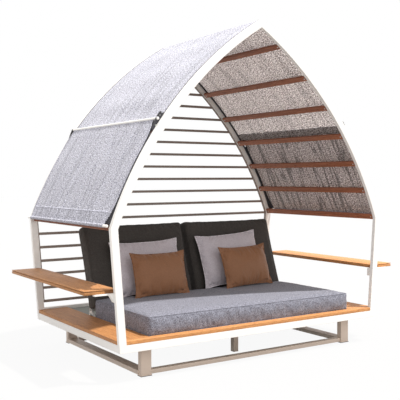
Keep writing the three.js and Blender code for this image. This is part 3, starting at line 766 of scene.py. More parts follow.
class DAYBED_OT_underframe(bpy.types.Operator):
    """Legs, runners and platform under the deck"""

    bl_idname = "daybed.underframe"
    bl_label = "Underframe"

    def execute(self, context):
        sizes = context.scene.daybed_frame
        colours = context.scene.daybed_colours
        taupe = powder_coat("powder coated aluminium taupe", colours.frame_taupe, 0.42)
        pad = moulded_nylon("moulded nylon foot pads", colours.moulded_black)
        for node in ("underframe", "centre_support"):
            eased(node, sizes.fine_edge, taupe)
        eased("platform", sizes.fine_edge, coated_panel("coated panel grey", colours.platform))
        pad_width, pad_depth = 0.081, 0.049
        bm = bmesh.new()
        for mount in frame["record"]["mounts"]:
            if mount["name"].startswith("foot"):
                x, y, _ = mount["pos_m"]
                made = bmesh.ops.create_cube(bm, size=1.0)
                shape = Matrix.Diagonal((pad_width, pad_depth, sizes.pad_height, 1.0))
                place = Matrix.Translation((x, y, sizes.pad_height / 2))
                bmesh.ops.transform(bm, matrix=place @ shape, verts=made["verts"])
        round_edges(bm, bm.edges, sizes.fine_edge * 0.8)
        new_piece("foot_pads", mesh_from(bm, "foot_pads"), pad, "bed")
        return {"FINISHED"}


def on_curve(side, radius, elevation, y):
    """A place over the left or right curve, by radius and elevation from the curve's centre."""
    x = side * (radius * math.cos(elevation) + CURVE_CENTRE.x)
    return Vector((x, y, CURVE_CENTRE.z + radius * math.sin(elevation)))


def elevation_of(point):
    return math.atan2(point.z - CURVE_CENTRE.z, abs(point.x) - CURVE_CENTRE.x)


def ridge_elevation(radius):
    return math.acos(-CURVE_CENTRE.x / radius)


def cloth_grid(name, rows, columns, place):
    """A grid moved onto a surface. place turns two shares into a point and metres of weave."""
    bm = bmesh.new()
    weave = bm.loops.layers.uv.new("weave")
    bmesh.ops.create_grid(bm, x_segments=columns, y_segments=rows, size=0.5)
    threads = {}
    for vertex in bm.verts:
        point, thread = place(vertex.co.x + 0.5, vertex.co.y + 0.5)
        threads[vertex] = thread
        vertex.co = point
    for face in bm.faces:
        for loop in face.loops:
            loop[weave].uv = threads[loop.vert]
    bm.normal_update()
    bm.faces.ensure_lookup_table()
    face = bm.faces[len(bm.faces) // 2]
    if face.normal.dot(face.calc_center_median() - UNDER_CANOPY) < 0:
        bmesh.ops.reverse_faces(bm, faces=bm.faces)
    return mesh_from(bm, name)


def sheet_piece(name, mesh, thickness, material, body, reverse=None):
    """A cloth with its thickness. Its inner face may show the other side of the weave."""
    piece = new_piece(name, mesh, material, body)
    wall = piece.modifiers.new("Cloth thickness", "SOLIDIFY")
    wall.thickness = thickness
    wall.offset = 0
    if reverse:
        mesh.materials.append(reverse)
        wall.material_offset = 1
    return piece


def ripple(across, along, spacing, seed):
    """A smooth value from -1 to 1 that varies over a cloth."""
    return noise.noise(Vector((across / spacing[0], along / spacing[1], seed)))


class DAYBED_OT_canopy(bpy.types.Operator):
    """Roof cloth, side panels, tracks and carriages"""

    bl_idname = "daybed.canopy"
    bl_label = "Canopy"

    def execute(self, context):
        colours = context.scene.daybed_colours
        sizes = context.scene.daybed_frame
        cloth = context.scene.daybed_cloth
        black = moulded_nylon("moulded nylon black", colours.moulded_black)
        for end in ("front", "rear"):
            eased(f"canopy_track_{end}", sizes.fine_edge, black)
            for name in SIDES:
                eased(f"carriage_{name}_{end}", sizes.board_edge * 0.6, black, 3)
        self.weaves(colours)
        self.roof(cloth)
        for name, side in SIDES.items():
            self.side_panel(cloth, name, side)
        self.axles(context)
        return {"FINISHED"}

    def weaves(self, colours):
        """The canopy cloth from outside and from inside, doubled at its hems, and its trim, with painted light and
        shade on the inner face.
        """
        light, dark = colours.canopy_light, colours.canopy_dark
        under, deep = colours.canopy_backlit_light, colours.canopy_backlit_dark
        black = colours.moulded_black
        self.outside = woven_cloth("woven acrylic canopy", light, dark, 0.005, 2.8, "weave", 0.21, 0.6)
        # The roof's inner face takes the backlit colours: painted light shining through the cloth.
        self.roof_reverse = woven_cloth(
            "woven acrylic roof reverse backlit", under, deep, 0.0058, 3.4, "weave", 0.26, 0.9
        )
        # The side panels' inner face is a darker copy: painted shade, as less light comes through them than
        # through the roof.
        under = shade(under, 0.9)
        self.reverse = woven_cloth("woven acrylic panel reverse backlit shaded", under, deep, 0.0058, 3.4, "weave", 0.5, 0.5)
        self.hemmed = woven_cloth(
            "woven acrylic hem", shade(light, 0.97), shade(dark, 0.95), 0.005, 2.8, "weave", 0.21
        )
        # The doubled hem's inner face is much darker: painted shade where two layers let less light through.
        self.shaded_hem_reverse = woven_cloth(
            "woven acrylic hem reverse shaded", shade(under, 0.6), shade(deep, 0.6), 0.0068, 3.0, "weave", 0.3
        )
        # The gussets' black webbing is partly dark cloth and partly painted shadow of the gap between panel and
        # track.
        self.webbing = woven_cloth(
            "woven black webbing", shade(black, 1.3), shade(black, 0.7), 0.004, 1.0, "weave"
        )
        self.thread = woven_cloth("spun thread pale", light, shade(light, 0.8), 0.004, 1.0)

    def roof(self, cloth):
        """The fixed roof cloth, and a doubled hem inside each of its low edges."""
        low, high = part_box("canopy_roof")
        half = high.y
        below_tracks = 0.002
        radius = OUTER_RADIUS - below_tracks
        start = math.asin((low.z - CURVE_CENTRE.z) / radius)
        ridge = ridge_elevation(radius)
        battens = sorted(
            elevation_of(middle_of(node)) for node in frame["nodes"] if node.startswith("batten_left")
        )
        stops = [start, *(angle for angle in battens if angle > start), ridge]
        narrow, wide, most_lift = (0.045, 0.5), (0.16, 0.45), 0.0009
        hem_in, hem_below = 0.004, 0.0062

        def sag(elevation, share):
            """Deepest half way between two battens and in the middle of the depth."""
            for a, b in zip(stops, stops[1:]):
                if a <= elevation <= b:
                    between = math.sin(math.pi * (elevation - a) / (b - a)) ** 2
                    return cloth.roof_sag * between * (1 - share**4)
            return 0.0

        def place(s, t):
            side = -1 if s < 0.5 else 1
            share = 2 * t - 1
            y = share * half
            elevation = ridge - abs(2 * s - 1) * (ridge - start)
            run = side * (ridge - elevation) * radius
            slant = ripple(y + abs(run) * 0.45, run, narrow, 3.0)
            broad = ripple(y - abs(run) * 0.2, run, wide, 8.0)
            quiet = (1 - share**8) * min(1, abs(run) / 0.05)
            fold = cloth.crease * quiet * (0.55 * slant + 0.5 * broad - 0.35)
            depth = sag(elevation, share) - min(most_lift, fold)
            return on_curve(side, radius - depth, elevation, y), (y, run)

        mesh = cloth_grid("roof_cloth", 120, 260, place)
        roof = sheet_piece(
            "roof_cloth", mesh, cloth.thickness, self.outside, "bed", self.roof_reverse
        )
        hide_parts("canopy_roof")
        for name, side in SIDES.items():
            reach = cloth.overlap / radius

            def hem_place(s, t):
                y = (2 * t - 1) * (half - hem_in)
                wave = 1 + 0.09 * ripple(y, 0, (0.05, 1), side * 6.0)
                elevation = start + reach * s * wave
                pucker = cloth.crease * ripple(y, s * 0.05, (0.028, 0.1), side * 5.0)
                inward = hem_below + 0.7 * pucker * math.sin(math.pi * min(1, s * 1.3))
                return on_curve(side, radius - inward, elevation, y), (y, elevation * radius)

            mesh = cloth_grid(f"roof_hem_{name}", 120, 10, hem_place)
            sheet_piece(f"roof_hem_{name}", mesh, cloth.thickness, self.hemmed, "bed", self.shaded_hem_reverse)

    def side_panel(self, cloth, name, side):
        """A sliding panel from the fold rod to the rod in its bottom hem."""
        body = f"canopy_{name}"
        node = f"side_panel_{name}"
        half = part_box(node)[1].y
        upper = middle_of(f"upper_rod_{name}")
        lower = middle_of(f"lower_rod_{name}")
        radius = math.hypot(abs(upper.x) - CURVE_CENTRE.x, upper.z - CURVE_CENTRE.z)
        high = elevation_of(upper) - ROD_RADIUS / radius
        low = elevation_of(lower)
        lying = OUTER_RADIUS + cloth.lie
        reach = math.acos(lying / radius)
        rod_gap, edge_lap, track_gap, fork_run = 0.004, 0.006, 0.0012, 0.095
        foot = low + (ROD_RADIUS + rod_gap) / radius
        full = cloth.drawn_run / radius
        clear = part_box(f"upper_rod_{name}")[1].y

        def half_at(elevation):
            below = max(0.0, 1 - (elevation - low) / full)
            above = max(0.0, 1 - (high - elevation) / full)
            return half - cloth.bottom_in * below**2 - cloth.top_in * above**2

        def level(elevation):
            """The cloth runs straight off each rod and lies on the tracks between."""
            from_rod = min(elevation - low, high - elevation)
            return lying / math.cos(max(0.0, reach - from_rod))

        def relief(y, run, share, up):
            """Creases that run from rod to rod, and puckers over the bottom hem."""
            narrow, broad, short = (0.042, 0.75), (0.13, 0.5), (0.024, 0.07)
            long = ripple(y - run * 0.16, run, narrow, side * 2.0)
            wide = ripple(y + run * 0.3, run, broad, side * 4.0)
            hem = max(0.0, 1 - up / 0.16)
            pucker = ripple(y, run, short, side * 9.0) * hem
            lifted = max(0.0, 0.42 + 0.8 * long + 0.6 * wide + 0.8 * pucker)
            ends = min(1.0, (1 - up) / 0.08) * min(1.0, 0.35 + up / 0.1)
            return cloth.crease * lifted * ends * (1 - share**6)

        def surface(elevation, share, offset, reach_out=None):
            up = (elevation - low) / (high - low)
            run = (elevation - low) * radius
            y = share * (reach_out or half_at(elevation))
            spread = level(elevation) + relief(y, run, share, up) + offset
            return on_curve(side, spread, elevation, y), (y, run)

        def place(s, t):
            return surface(low + (high - low) * s, 2 * t - 1, 0.0)

        mesh = cloth_grid(f"panel_cloth_{name}", 160, 90, place)
        panel = sheet_piece(
            f"panel_cloth_{name}", mesh, cloth.thickness, self.outside, body, self.reverse
        )
        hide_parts(node)

        def hem_place(s, t):
            elevation = low + cloth.hem / radius * s
            step = cloth.thickness * (1.15 if s < 0.97 else 0.75)
            return surface(elevation, (2 * t - 1) * 0.998, step)

        mesh = cloth_grid(f"panel_hem_{name}", 160, 16, hem_place)
        pieces = [
            sheet_piece(f"panel_hem_{name}", mesh, cloth.thickness, self.hemmed, body)
        ]
        for end, way in (("front", -1), ("rear", 1)):

            def edge_place(s, t):
                elevation = low + (high - low) * s
                width = cloth.side_hem / half_at(elevation)
                return surface(elevation, way * (1 - width * t), cloth.thickness * 1.1)

            def gusset_place(s, t):
                elevation = foot + (high - foot) * s
                inner = half_at(elevation) - edge_lap
                passing = (high - elevation) * radius < fork_run
                outer = clear - 0.002 if passing else half
                y = inner + (max(inner + 0.001, outer) - inner) * t
                raised = level(elevation) - cloth.thickness * 1.1
                spread = raised + (OUTER_RADIUS + track_gap - raised) * min(1.0, 1.6 * t)
                return on_curve(side, spread, elevation, way * y), (y, elevation * radius)

            # Each gusset's black webbing partly paints the shadow in the gap beside the track.
            for kind, way_to, finish in (
                ("edge", edge_place, self.hemmed),
                ("gusset", gusset_place, self.webbing),
            ):
                mesh = cloth_grid(f"panel_{kind}_{name}_{end}", 3, 90, way_to)
                pieces.append(
                    sheet_piece(f"panel_{kind}_{name}_{end}", mesh, cloth.thickness, finish, body)
                )
        pieces.append(self.sleeve(cloth, name, lower, half_at(low), body))

        def outward(point):
            spot = Vector((point.x - side * CURVE_CENTRE.x, 0, point.z - CURVE_CENTRE.z))
            return spot.normalized()

        steps, seam_down = 1400, 0.006
        seam = low + (cloth.hem - seam_down) / radius
        line = [surface(seam, 2 * i / steps - 1, cloth.thickness * 1.7)[0] for i in range(steps + 1)]
        pieces.append(
            stitches(f"hem_stitches_{name}", line, cloth.stitch, self.thread, body, outward)
        )

    def sleeve(self, cloth, name, lower, half, body):
        """The cloth tube round the lower rod."""
        bm = bmesh.new()
        weave = bm.loops.layers.uv.new("weave")
        radius = ROD_RADIUS + 0.0022
        bmesh.ops.create_cone(
            bm, cap_ends=False, segments=24, radius1=radius, radius2=radius, depth=2 * half
        )
        along = [edge for edge in bm.edges if abs(edge.verts[0].co.z - edge.verts[1].co.z) > half]
        bmesh.ops.subdivide_edges(bm, edges=along, cuts=80, use_grid_fill=True)
        for vertex in bm.verts:
            wobble = 1 + 0.07 * ripple(vertex.co.z, vertex.co.x, (0.03, 0.02), 4.0)
            vertex.co.x *= wobble
            vertex.co.y *= wobble
        for face in bm.faces:
            for loop in face.loops:
                place = loop.vert.co
                loop[weave].uv = (place.z, math.atan2(place.y, place.x) * radius)
        turn = Matrix.Translation(lower) @ Matrix.Rotation(math.pi / 2, 4, "X")
        bmesh.ops.transform(bm, matrix=turn, verts=bm.verts)
        mesh = mesh_from(bm, f"rod_sleeve_{name}")
        return sheet_piece(f"rod_sleeve_{name}", mesh, cloth.thickness * 0.8, self.hemmed, body)

    def axles(self, context):
        """A pin head in the foot of each carriage and in the fork of the front ones."""
        foot_pin, fork_pin = (-0.045, 0.0075), (0.026, 0.017)
        sizes = context.scene.daybed_frame
        steel = turned_steel("stainless axle pins", context.scene.daybed_colours.steel)
        for name, side in SIDES.items():
            heads = []
            upper = middle_of(f"upper_rod_{name}")
            for end, way in (("front", -1), ("rear", 1)):
                low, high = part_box(f"carriage_{name}_{end}")
                face = low.y if way < 0 else high.y
                pins = (foot_pin, fork_pin) if end == "front" else (foot_pin,)
                for run, rise in pins:
                    elevation = elevation_of(upper) + run / OUTER_RADIUS
                    spot = on_curve(side, OUTER_RADIUS + rise, elevation, face)
                    heads.append((spot, (0, way, 0), sizes.screw * 0.7))
            fasteners(f"carriage_pins_{name}", heads, steel, f"canopy_{name}")


def evaluated_copy(piece, name):
    """The piece's mesh with its modifiers applied."""
    depsgraph = bpy.context.evaluated_depsgraph_get()
    mesh = bpy.data.meshes.new_from_object(piece.evaluated_get(depsgraph))
    mesh.name = name
    return mesh


def loose_object(name, mesh):
    piece = bpy.data.objects.new(name, mesh)
    bpy.context.scene.collection.objects.link(piece)
    return piece


def inflate(mesh, pinned, limit, pressure, give, frames=20):
    """Lets a cover swell as cloth and crease at its pinned seams. No point moves past the limit."""
    before = [vertex.co.copy() for vertex in mesh.vertices]
    piece = loose_object("cloth_at_work", mesh)
    seam = piece.vertex_groups.new(name="seam")
    seam.add(pinned, 1.0, "ADD")
    cover = piece.modifiers.new("Cover", "CLOTH")
    settings = cover.settings
    settings.quality = 6
    settings.mass = 0.25
    settings.tension_stiffness = 25
    settings.compression_stiffness = 25
    settings.shear_stiffness = 12
    settings.bending_stiffness = 0.25
    settings.use_pressure = True
    settings.uniform_pressure_force = pressure
    settings.shrink_min = -give
    settings.effector_weights.gravity = 0
    cover.collision_settings.use_collision = False
    settings.vertex_group_mass = "seam"
    cover.point_cache.frame_start = 1
    cover.point_cache.frame_end = frames
    scene = bpy.context.scene
    for number in range(1, frames + 1):
        scene.frame_set(number)
    swollen = evaluated_copy(piece, mesh.name)
    bpy.data.objects.remove(piece)
    scene.frame_set(1)
    for vertex, start in zip(swollen.vertices, before):
        moved = vertex.co - start
        if moved.length > limit:
            vertex.co = start + moved.normalized() * limit
    return swollen


def remeshed(node, cell):
    """A CAD node's form as an even mesh of one cell size."""
    bm = merged_copy(node)
    piece = loose_object("form_at_work", mesh_from(bm, node + "_form"))
    grid = piece.modifiers.new("Even cells", "REMESH")
    grid.mode = "VOXEL"
    grid.voxel_size = cell
    softer = piece.modifiers.new("Softer", "SMOOTH")
    softer.factor = 0.5
    softer.iterations = 1
    mesh = evaluated_copy(piece, node + "_cells")
    bpy.data.objects.remove(piece)
    return mesh


def finer(mesh, name):
    """One level of subdivision, applied."""
    piece = loose_object("finer_at_work", mesh)
    rounder = piece.modifiers.new("Rounder", "SUBSURF")
    rounder.levels = 1
    rounder.render_levels = 1
    result = evaluated_copy(piece, name)
    bpy.data.objects.remove(piece)
    result.polygons.foreach_set("use_smooth", [True] * len(result.polygons))
    return result


def hug(points, mesh, lift):
    """Moves points onto the nearest place of a surface, a little proud of it."""
    tree = BVHTree.FromPolygons(
        [vertex.co for vertex in mesh.vertices], [face.vertices for face in mesh.polygons]
    )
    placed = []
    for point in points:
        spot, normal, _, _ = tree.find_nearest(point)
        placed.append(spot + normal * lift)
    return placed


def rounded_rectangle(half_u, half_v, radius, step):
    """Points round a rectangle with round corners, about its middle."""
    points = []
    corners = [(1, 1, 0), (-1, 1, 90), (-1, -1, 180), (1, -1, 270)]
    turns = 6
    for sign_u, sign_v, start in corners:
        for i in range(turns + 1):
            angle = math.radians(start + 90 / turns * i)
            u = sign_u * (half_u - radius) + radius * math.cos(angle)
            v = sign_v * (half_v - radius) + radius * math.sin(angle)
            points.append((u, v))
    path = []
    for (u0, v0), (u1, v1) in zip(points, points[1:] + points[:1]):
        count = max(1, round(math.hypot(u1 - u0, v1 - v0) / step))
        path += [(u0 + (u1 - u0) * i / count, v0 + (v1 - v0) * i / count) for i in range(count)]
    return path


def corners_of(spots):
    """The lowest and highest corners of the box round some points."""
    low = Vector([min(spot[i] for spot in spots) for i in range(3)])
    high = Vector([max(spot[i] for spot in spots) for i in range(3)])
    return low, high


def search_tree(spots):
    tree = KDTree(len(spots))
    for i, spot in enumerate(spots):
        tree.insert(spot, i)
    tree.balance()
    return tree


class BoxForm:
    """A box-shaped cushion: the turn from its own axes to the object's, and its size."""

    def __init__(self, node, lean, edge):
        self.turn = Matrix.Rotation(-lean, 4, "X")
        back = self.turn.inverted()
        spots = [back @ vertex.co for vertex in frame["nodes"][node].data.vertices]
        low, high = corners_of(spots)
        self.middle = (low + high) / 2
        self.half = (high - low) / 2
        self.edge = edge

    def world(self, point):
        return self.turn @ (point + self.middle)

    def seam_paths(self, axis, crown, step=0.012):
        """The two piped seams, one along each face across the given axis."""
        round_share = 0.293
        others = [i for i in range(3) if i != axis]
        tuck = self.edge * round_share
        flat = self.half[axis] - crown - tuck
        u, v = (self.half[i] - tuck for i in others)
        paths = []
        for way in (-1, 1):
            path = []
            for a, b in rounded_rectangle(u, v, self.edge * 0.8, step):
                point = Vector((0, 0, 0))
                point[others[0]], point[others[1]] = a, b
                point[axis] = way * flat
                path.append(self.world(point))
            paths.append(path)
        return paths


def seam_vertices(mesh, paths, reach):
    """Numbers of the vertices that lie within reach of a seam."""
    tree = search_tree([point for path in paths for point in path])
    return [v.index for v in mesh.vertices if tree.find(v.co)[2] < reach]


def piped_cushion(node, form, axis, cell, crown, sizes, material, trim):
    """A cushion cover that swells between two piped seams, in place of a CAD node."""
    body, slot = BODY_OF[node], SLOT_OF[node]
    mesh = remeshed(node, cell)
    paths = [hug(path, mesh, 0.0) for path in form.seam_paths(axis, crown)]
    pinned = seam_vertices(mesh, paths, cell * 0.75)
    mesh = inflate(mesh, pinned, sizes.swell, 4.0, 0.02)
    mesh = finer(mesh, node + "_cover")
    cushion = new_piece(node + "_cover", mesh, material, body)
    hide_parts(node)
    for i, path in enumerate(paths):
        seam = hug(path, mesh, sizes.piping * 0.55)
        piping_along(f"{node}_piping_{i + 1}", seam, sizes.piping, trim, body)


class DAYBED_OT_mattress(bpy.types.Operator):
    """Mattress with a piped cover"""

    bl_idname = "daybed.mattress"
    bl_label = "Mattress"

    def execute(self, context):
        colours = context.scene.daybed_colours
        sizes = context.scene.daybed_padding
        light, dark = colours.mattress_light, colours.mattress_dark
        cover = woven_cloth("woven acrylic mattress cover", light, dark, 0.0042, 1.3)
        trim = woven_cloth("woven acrylic mattress piping", light, dark, 0.006, 0.8)
        form = BoxForm("mattress", 0.0, sizes.mattress_edge)
        piped_cushion("mattress", form, 2, sizes.mattress_cell, 0.004, sizes, cover, trim)
        return {"FINISHED"}


class DAYBED_OT_backs(bpy.types.Operator):
    """Reclining backs: cushions, boards, hinges and props"""

    bl_idname = "daybed.backs"
    bl_label = "Backs"

    lean: bpy.props.FloatProperty(
        name="Lean", description="Lean of the backs at rest", default=math.radians(18.5), subtype="ANGLE"
    )

    def execute(self, context):
        colours = context.scene.daybed_colours
        sizes = context.scene.daybed_padding
        fine = context.scene.daybed_frame
        light, dark = colours.charcoal_light, colours.charcoal_dark
        cover = woven_cloth("woven acrylic charcoal", light, dark, 0.004, 0.9)
        trim = woven_cloth("woven acrylic charcoal piping", light, dark, 0.006, 0.8)
        white = powder_coat("powder coated back fittings", colours.frame_white, 0.4)
        board = powder_coat("painted back boards", shade(colours.frame_white, 0.94), 0.5, 0.01)
        steel = turned_steel("stainless hinge pins", colours.steel)
        for name in SIDES:
            node = f"back_cushion_{name}"
            form = BoxForm(node, self.lean, sizes.cushion_edge)
            piped_cushion(node, form, 1, sizes.cushion_cell, 0.005, sizes, cover, trim)
            eased(f"back_board_{name}", fine.fine_edge, board)
            eased(f"back_prop_{name}", fine.fine_edge, white)
            heads = []
            for place, way in (("inner", -1), ("outer", 1)):
                hinge = f"back_hinge_{name}_{place}"
                eased(hinge, fine.fine_edge, white)
                low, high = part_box(hinge)
                outward = way * SIDES[name]
                x = high.x if outward > 0 else low.x
                pivot = JOINTS[f"back_{name}_recline"]["pos_m"]
                heads.append(((x + outward * 0.0005, pivot[1], pivot[2]), (outward, 0, 0), fine.bolt))
            fasteners(f"hinge_pins_{name}", heads, steel, "bed")
        return {"FINISHED"}


# Each pillow's seam size, fullness before and behind the seam, lean, roll and turn.
PILLOWS = {
    "left_rear": dict(width=0.61, height=0.44, front=0.063, behind=0.031, lean=17.5, roll=-1, turn=0),
    "right_rear": dict(width=0.62, height=0.452, front=0.063, behind=0.031, lean=17.5, roll=-3, turn=0),
    "left_front": dict(width=0.49, height=0.358, front=0.059, behind=0.029, lean=16, roll=0, turn=0),
    "right_front": dict(width=0.51, height=0.362, front=0.059, behind=0.029, lean=18, roll=-1, turn=4),
}


class DAYBED_OT_pillows(bpy.types.Operator):
    """Loose pillows that lean on the backs"""

    bl_idname = "daybed.pillows"
    bl_label = "Pillows"

    def execute(self, context):
        colours = context.scene.daybed_colours
        sizes = context.scene.daybed_padding
        pale = woven_cloth(
            "woven sateen pale", colours.pale_light, colours.pale_dark, 0.004, 0.8, satin=0.35
        )
        brown = woven_cloth(
            "woven sateen brown", colours.brown_light, colours.brown_dark, 0.003, 0.6, satin=0.4
        )
        bright, deep = shade(colours.pale_light, 1.4), shade(colours.pale_light, 0.8)
        pale_trim = woven_cloth("sateen piping pale", bright, deep, 0.008, 1.5)
        bright, deep = shade(colours.brown_light, 1.1), shade(colours.brown_dark, 0.6)
        brown_trim = woven_cloth("sateen piping brown", bright, deep, 0.008, 1.5)
        for name, form in PILLOWS.items():
            rear = name.endswith("rear")
            cover = pale if rear else brown
            trim = pale_trim if rear else brown_trim
            self.pillow(name, form, sizes, cover, trim)
        return {"FINISHED"}

    def pillow(self, name, form, sizes, cover, trim):
        """Two panels sewn round their edge and filled, then leaned in place."""
        node = f"pillow_{name}"
        body, slot = BODY_OF[node], SLOT_OF[node]
        columns = round(form["width"] / sizes.pillow_cell)
        rows = round(form["height"] / sizes.pillow_cell)
        lips, loft = 0.0008, 0.04
        bm = bmesh.new()
        bmesh.ops.create_grid(bm, x_segments=columns, y_segments=rows, size=0.5)
        behind = bmesh.ops.duplicate(bm, geom=bm.faces)
        copied = {item for item in behind["geom"] if isinstance(item, bmesh.types.BMFace)}
        bmesh.ops.reverse_faces(bm, faces=list(copied))
        rear = {vertex for face in copied for vertex in face.verts}
        for vertex in bm.verts:
            u, v = 2 * vertex.co.x, 2 * vertex.co.y
            inset = math.sqrt(max(0.0, (1 - u**2) * (1 - v**2)))
            vertex.co = self.outline(u, v, form, sizes)
            vertex.co.z = (-1 if vertex in rear else 1) * (lips + loft * inset)
        bmesh.ops.remove_doubles(bm, verts=bm.verts, dist=2.25 * lips)
        mesh = mesh_from(bm, node + "_flat")
        rim = [vertex.index for vertex in mesh.vertices if abs(vertex.co.z) < 1.25 * lips]
        rim.sort(key=lambda i: math.atan2(mesh.vertices[i].co.y, mesh.vertices[i].co.x))
        mesh = inflate(mesh, rim, 0.12, 6.0, sizes.pillow_give, 26)
        self.fit(mesh, form)
        mesh = finer(mesh, node + "_cover")
        self.pucker(mesh, [mesh.vertices[i].co.copy() for i in rim], form, sizes)
        matrix = self.leaning(mesh, node, form)
        mesh.transform(matrix)
        pillow = new_piece(node + "_cover", mesh, cover, body)
        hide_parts(node)
        path = [mesh.vertices[i].co.copy() for i in rim]
        piping_along(node + "_piping", path, sizes.pillow_piping, trim, body)

    def outline(self, u, v, form, sizes):
        """A place on the sewn outline: sides drawn in between small round corners."""
        half = Vector((form["width"] / 2, form["height"] / 2, 0))
        drawn = sizes.pillow_drawn
        point = Vector((half.x * u, half.y * v, 0))
        point.x -= u * drawn * (1 - v**4)
        point.y -= v * drawn * (1 - u**4)
        corner = max(0.0, abs(u) - 0.85) * max(0.0, abs(v) - 0.79) / (0.15 * 0.21)
        shrink = sizes.pillow_corner * corner
        return point - Vector((math.copysign(shrink, u), math.copysign(shrink, v), 0))

    def fit(self, mesh, form):
        """Scales a filled pillow to its fullness on each face, steeper toward the seam."""
        steepness = 0.72
        deep = max(vertex.co.z for vertex in mesh.vertices)
        thin = -min(vertex.co.z for vertex in mesh.vertices)
        for vertex in mesh.vertices:
            if vertex.co.z > 0:
                vertex.co.z = form["front"] * (vertex.co.z / deep) ** steepness
            else:
                vertex.co.z = -form["behind"] * (-vertex.co.z / thin) ** steepness

    def pucker(self, mesh, rim, form, sizes):
        """Short folds that start at the seam and die out toward the middle."""
        narrow, wide = (0.021, 0.021), (0.09, 0.09)
        pinned_run, fading_run = 0.012, 0.05
        tree = search_tree(rim)
        seed = form["width"] * 40
        for vertex in mesh.vertices:
            spot, _, away = tree.find(vertex.co)
            around = ripple(spot.x, spot.y, narrow, seed)
            broad = ripple(vertex.co.x, vertex.co.y, wide, seed + 3)
            rise = min(1.0, away / pinned_run)
            fade = math.exp(-away / fading_run) * around + 0.7 * broad
            way = 1 if vertex.co.z > 0 else -1
            vertex.co.z += way * rise * sizes.pucker * (fade - 0.3)

    def leaning(self, mesh, node, form):
        """From the pillow's own axes to where its CAD solid stands."""
        upright = Matrix.Rotation(math.pi / 2, 4, "X")
        roll = Matrix.Rotation(math.radians(form["roll"]), 4, "Y")
        lift = Matrix.Translation((0, 0, form["height"] / 2))
        lean = Matrix.Rotation(-math.radians(form["lean"]), 4, "X")
        turn = Matrix.Rotation(math.radians(form["turn"]), 4, "Z")
        matrix = turn @ lean @ lift @ roll @ upright
        low, high = corners_of([matrix @ vertex.co for vertex in mesh.vertices])
        cad_low, cad_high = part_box(node)
        shift = (cad_low + cad_high) / 2 - (low + high) / 2
        shift.z = cad_low.z - low.z
        return Matrix.Translation(shift) @ matrix


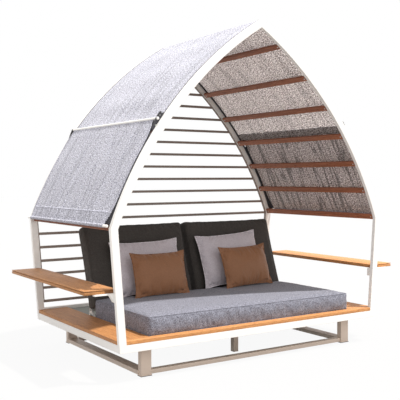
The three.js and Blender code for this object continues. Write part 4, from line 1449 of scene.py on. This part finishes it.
class DAYBED_OT_stage(bpy.types.Operator):
    """Floor, light and camera"""

    bl_idname = "daybed.stage"
    bl_label = "Stage"

    def execute(self, context):
        scene = context.scene
        scene.view_settings.view_transform = "Standard"
        self.floor()
        self.world(scene)
        self.lamp(scene)
        self.camera(scene)
        return {"FINISHED"}

    def floor(self):
        """A wide pale floor that shows white and keeps soft shadows."""
        material, shader = start_material("pale floor")
        shader.inputs["Base Color"].default_value = (0.3, 0.29, 0.28, 1)
        shader.inputs["Roughness"].default_value = 0.9
        shader.inputs["Specular IOR Level"].default_value = 0.0
        light = add_node(material, "LightPath")
        glow = add_node(material, "Emission", {"Color": (1, 1, 1, 1), "Strength": 1.04})
        seen = add_node(
            material,
            "Math",
            {0: light.outputs["Is Camera Ray"], 1: light.outputs["Is Glossy Ray"]},
            operation="MAXIMUM",
        )
        share = add_node(material, "Math", {0: seen.outputs[0], 1: 0.9}, operation="MULTIPLY")
        mixed = add_node(
            material,
            "MixShader",
            {0: share.outputs[0], 1: shader.outputs["BSDF"], 2: glow.outputs["Emission"]},
        )
        output = next(n for n in material.node_tree.nodes if n.type == "OUTPUT_MATERIAL")
        material.node_tree.links.new(mixed.outputs["Shader"], output.inputs["Surface"])
        bm = bmesh.new()
        bmesh.ops.create_grid(bm, x_segments=1, y_segments=1, size=40.0)
        mesh = mesh_from(bm, "floor")
        mesh.materials.append(material)
        floor = loose_object("floor", mesh)

    def world(self, scene):
        """An even sky that shows white to the camera and to gloss."""
        world = bpy.data.worlds.new("soft sky")
        world.use_nodes = True
        scene.world = world
        tree = world.node_tree
        tree.nodes.clear()
        light = add_node(world, "LightPath")
        seen = add_node(
            world,
            "Math",
            {0: light.outputs["Is Camera Ray"], 1: light.outputs["Is Transmission Ray"]},
            operation="MAXIMUM",
        )
        soft = add_node(world, "Background", {"Color": (1, 0.965, 0.945, 1), "Strength": 1.08})
        plain = add_node(world, "Background", {"Color": (1, 1, 1, 1), "Strength": 1.0})
        mixed = add_node(
            world,
            "MixShader",
            {0: seen.outputs[0], 1: soft.outputs["Background"], 2: plain.outputs["Background"]},
        )
        add_node(world, "OutputWorld", {"Surface": mixed.outputs["Shader"]})

    def lamp(self, scene):
        """A high sun from the front right. It throws the canopy's shadow across the mattress."""
        lamp = bpy.data.lights.new("sun", "SUN")
        lamp.energy = 4.4
        lamp.angle = math.radians(1.5)
        lamp.color = (1.0, 0.97, 0.93)
        holder = bpy.data.objects.new("sun", lamp)
        holder.location = Vector((0.35, -0.275, 1.0)) * 6
        holder.rotation_euler = holder.location.to_track_quat("Z", "Y").to_euler()
        scene.collection.objects.link(holder)

    def camera(self, scene):
        """The photograph's viewpoint, solved from its straight edges."""
        focal_pixels, picture_pixels = 734.4, 400
        place = Vector((-3.1336, -4.6764, 1.259))
        yaw, pitch, roll = math.radians(33.31), math.radians(-1.66), math.radians(-0.19)
        forward = Vector(
            (math.sin(yaw) * math.cos(pitch), math.cos(yaw) * math.cos(pitch), math.sin(pitch))
        )
        camera = bpy.data.cameras.new("camera")
        camera.sensor_width = 36.0
        camera.lens = camera.sensor_width * focal_pixels / picture_pixels
        camera.clip_end = 200
        holder = bpy.data.objects.new("camera", camera)
        turned = forward.to_track_quat("-Z", "Y").to_matrix().to_4x4()
        holder.matrix_world = Matrix.Translation(place) @ turned @ Matrix.Rotation(roll, 4, "Z")
        scene.collection.objects.link(holder)
        scene.camera = holder


class DAYBED_PT_panel(bpy.types.Panel):
    """Sizes, colours and pieces of the daybed"""

    bl_idname = "DAYBED_PT_panel"
    bl_label = "Daybed"
    bl_space_type = "VIEW_3D"
    bl_region_type = "UI"
    bl_category = "Daybed"

    def draw(self, context):
        layout = self.layout
        for operator in OPERATORS:
            layout.operator(operator.bl_idname)
        for group_name in GROUPS:
            group = getattr(context.scene, group_name)
            for name in group.__annotations__:
                layout.prop(group, name)


OPERATORS = (
    DAYBED_OT_frame,
    DAYBED_OT_screen,
    DAYBED_OT_timber,
    DAYBED_OT_underframe,
    DAYBED_OT_canopy,
    DAYBED_OT_mattress,
    DAYBED_OT_backs,
    DAYBED_OT_pillows,
    DAYBED_OT_stage,
)
GROUPS = {
    "daybed_colours": DaybedColours,
    "daybed_frame": DaybedFrameSizes,
    "daybed_cloth": DaybedClothSizes,
    "daybed_padding": DaybedPaddingSizes,
}


def register():
    for group in GROUPS.values():
        bpy.utils.register_class(group)
    for name, group in GROUPS.items():
        setattr(bpy.types.Scene, name, bpy.props.PointerProperty(type=group))
    for operator in OPERATORS:
        bpy.utils.register_class(operator)
    bpy.utils.register_class(DAYBED_PT_panel)


def unregister():
    bpy.utils.unregister_class(DAYBED_PT_panel)
    for operator in reversed(OPERATORS):
        bpy.utils.unregister_class(operator)
    for name, group in GROUPS.items():
        delattr(bpy.types.Scene, name)
        bpy.utils.unregister_class(group)


def main():
    register()
    bpy.ops.daybed.frame()
    bpy.ops.daybed.screen()
    bpy.ops.daybed.timber()
    bpy.ops.daybed.underframe()
    bpy.ops.daybed.canopy()
    bpy.ops.daybed.mattress()
    bpy.ops.daybed.backs()
    bpy.ops.daybed.pillows()
    bpy.ops.daybed.stage()


if __name__ == "__main__":
    main()
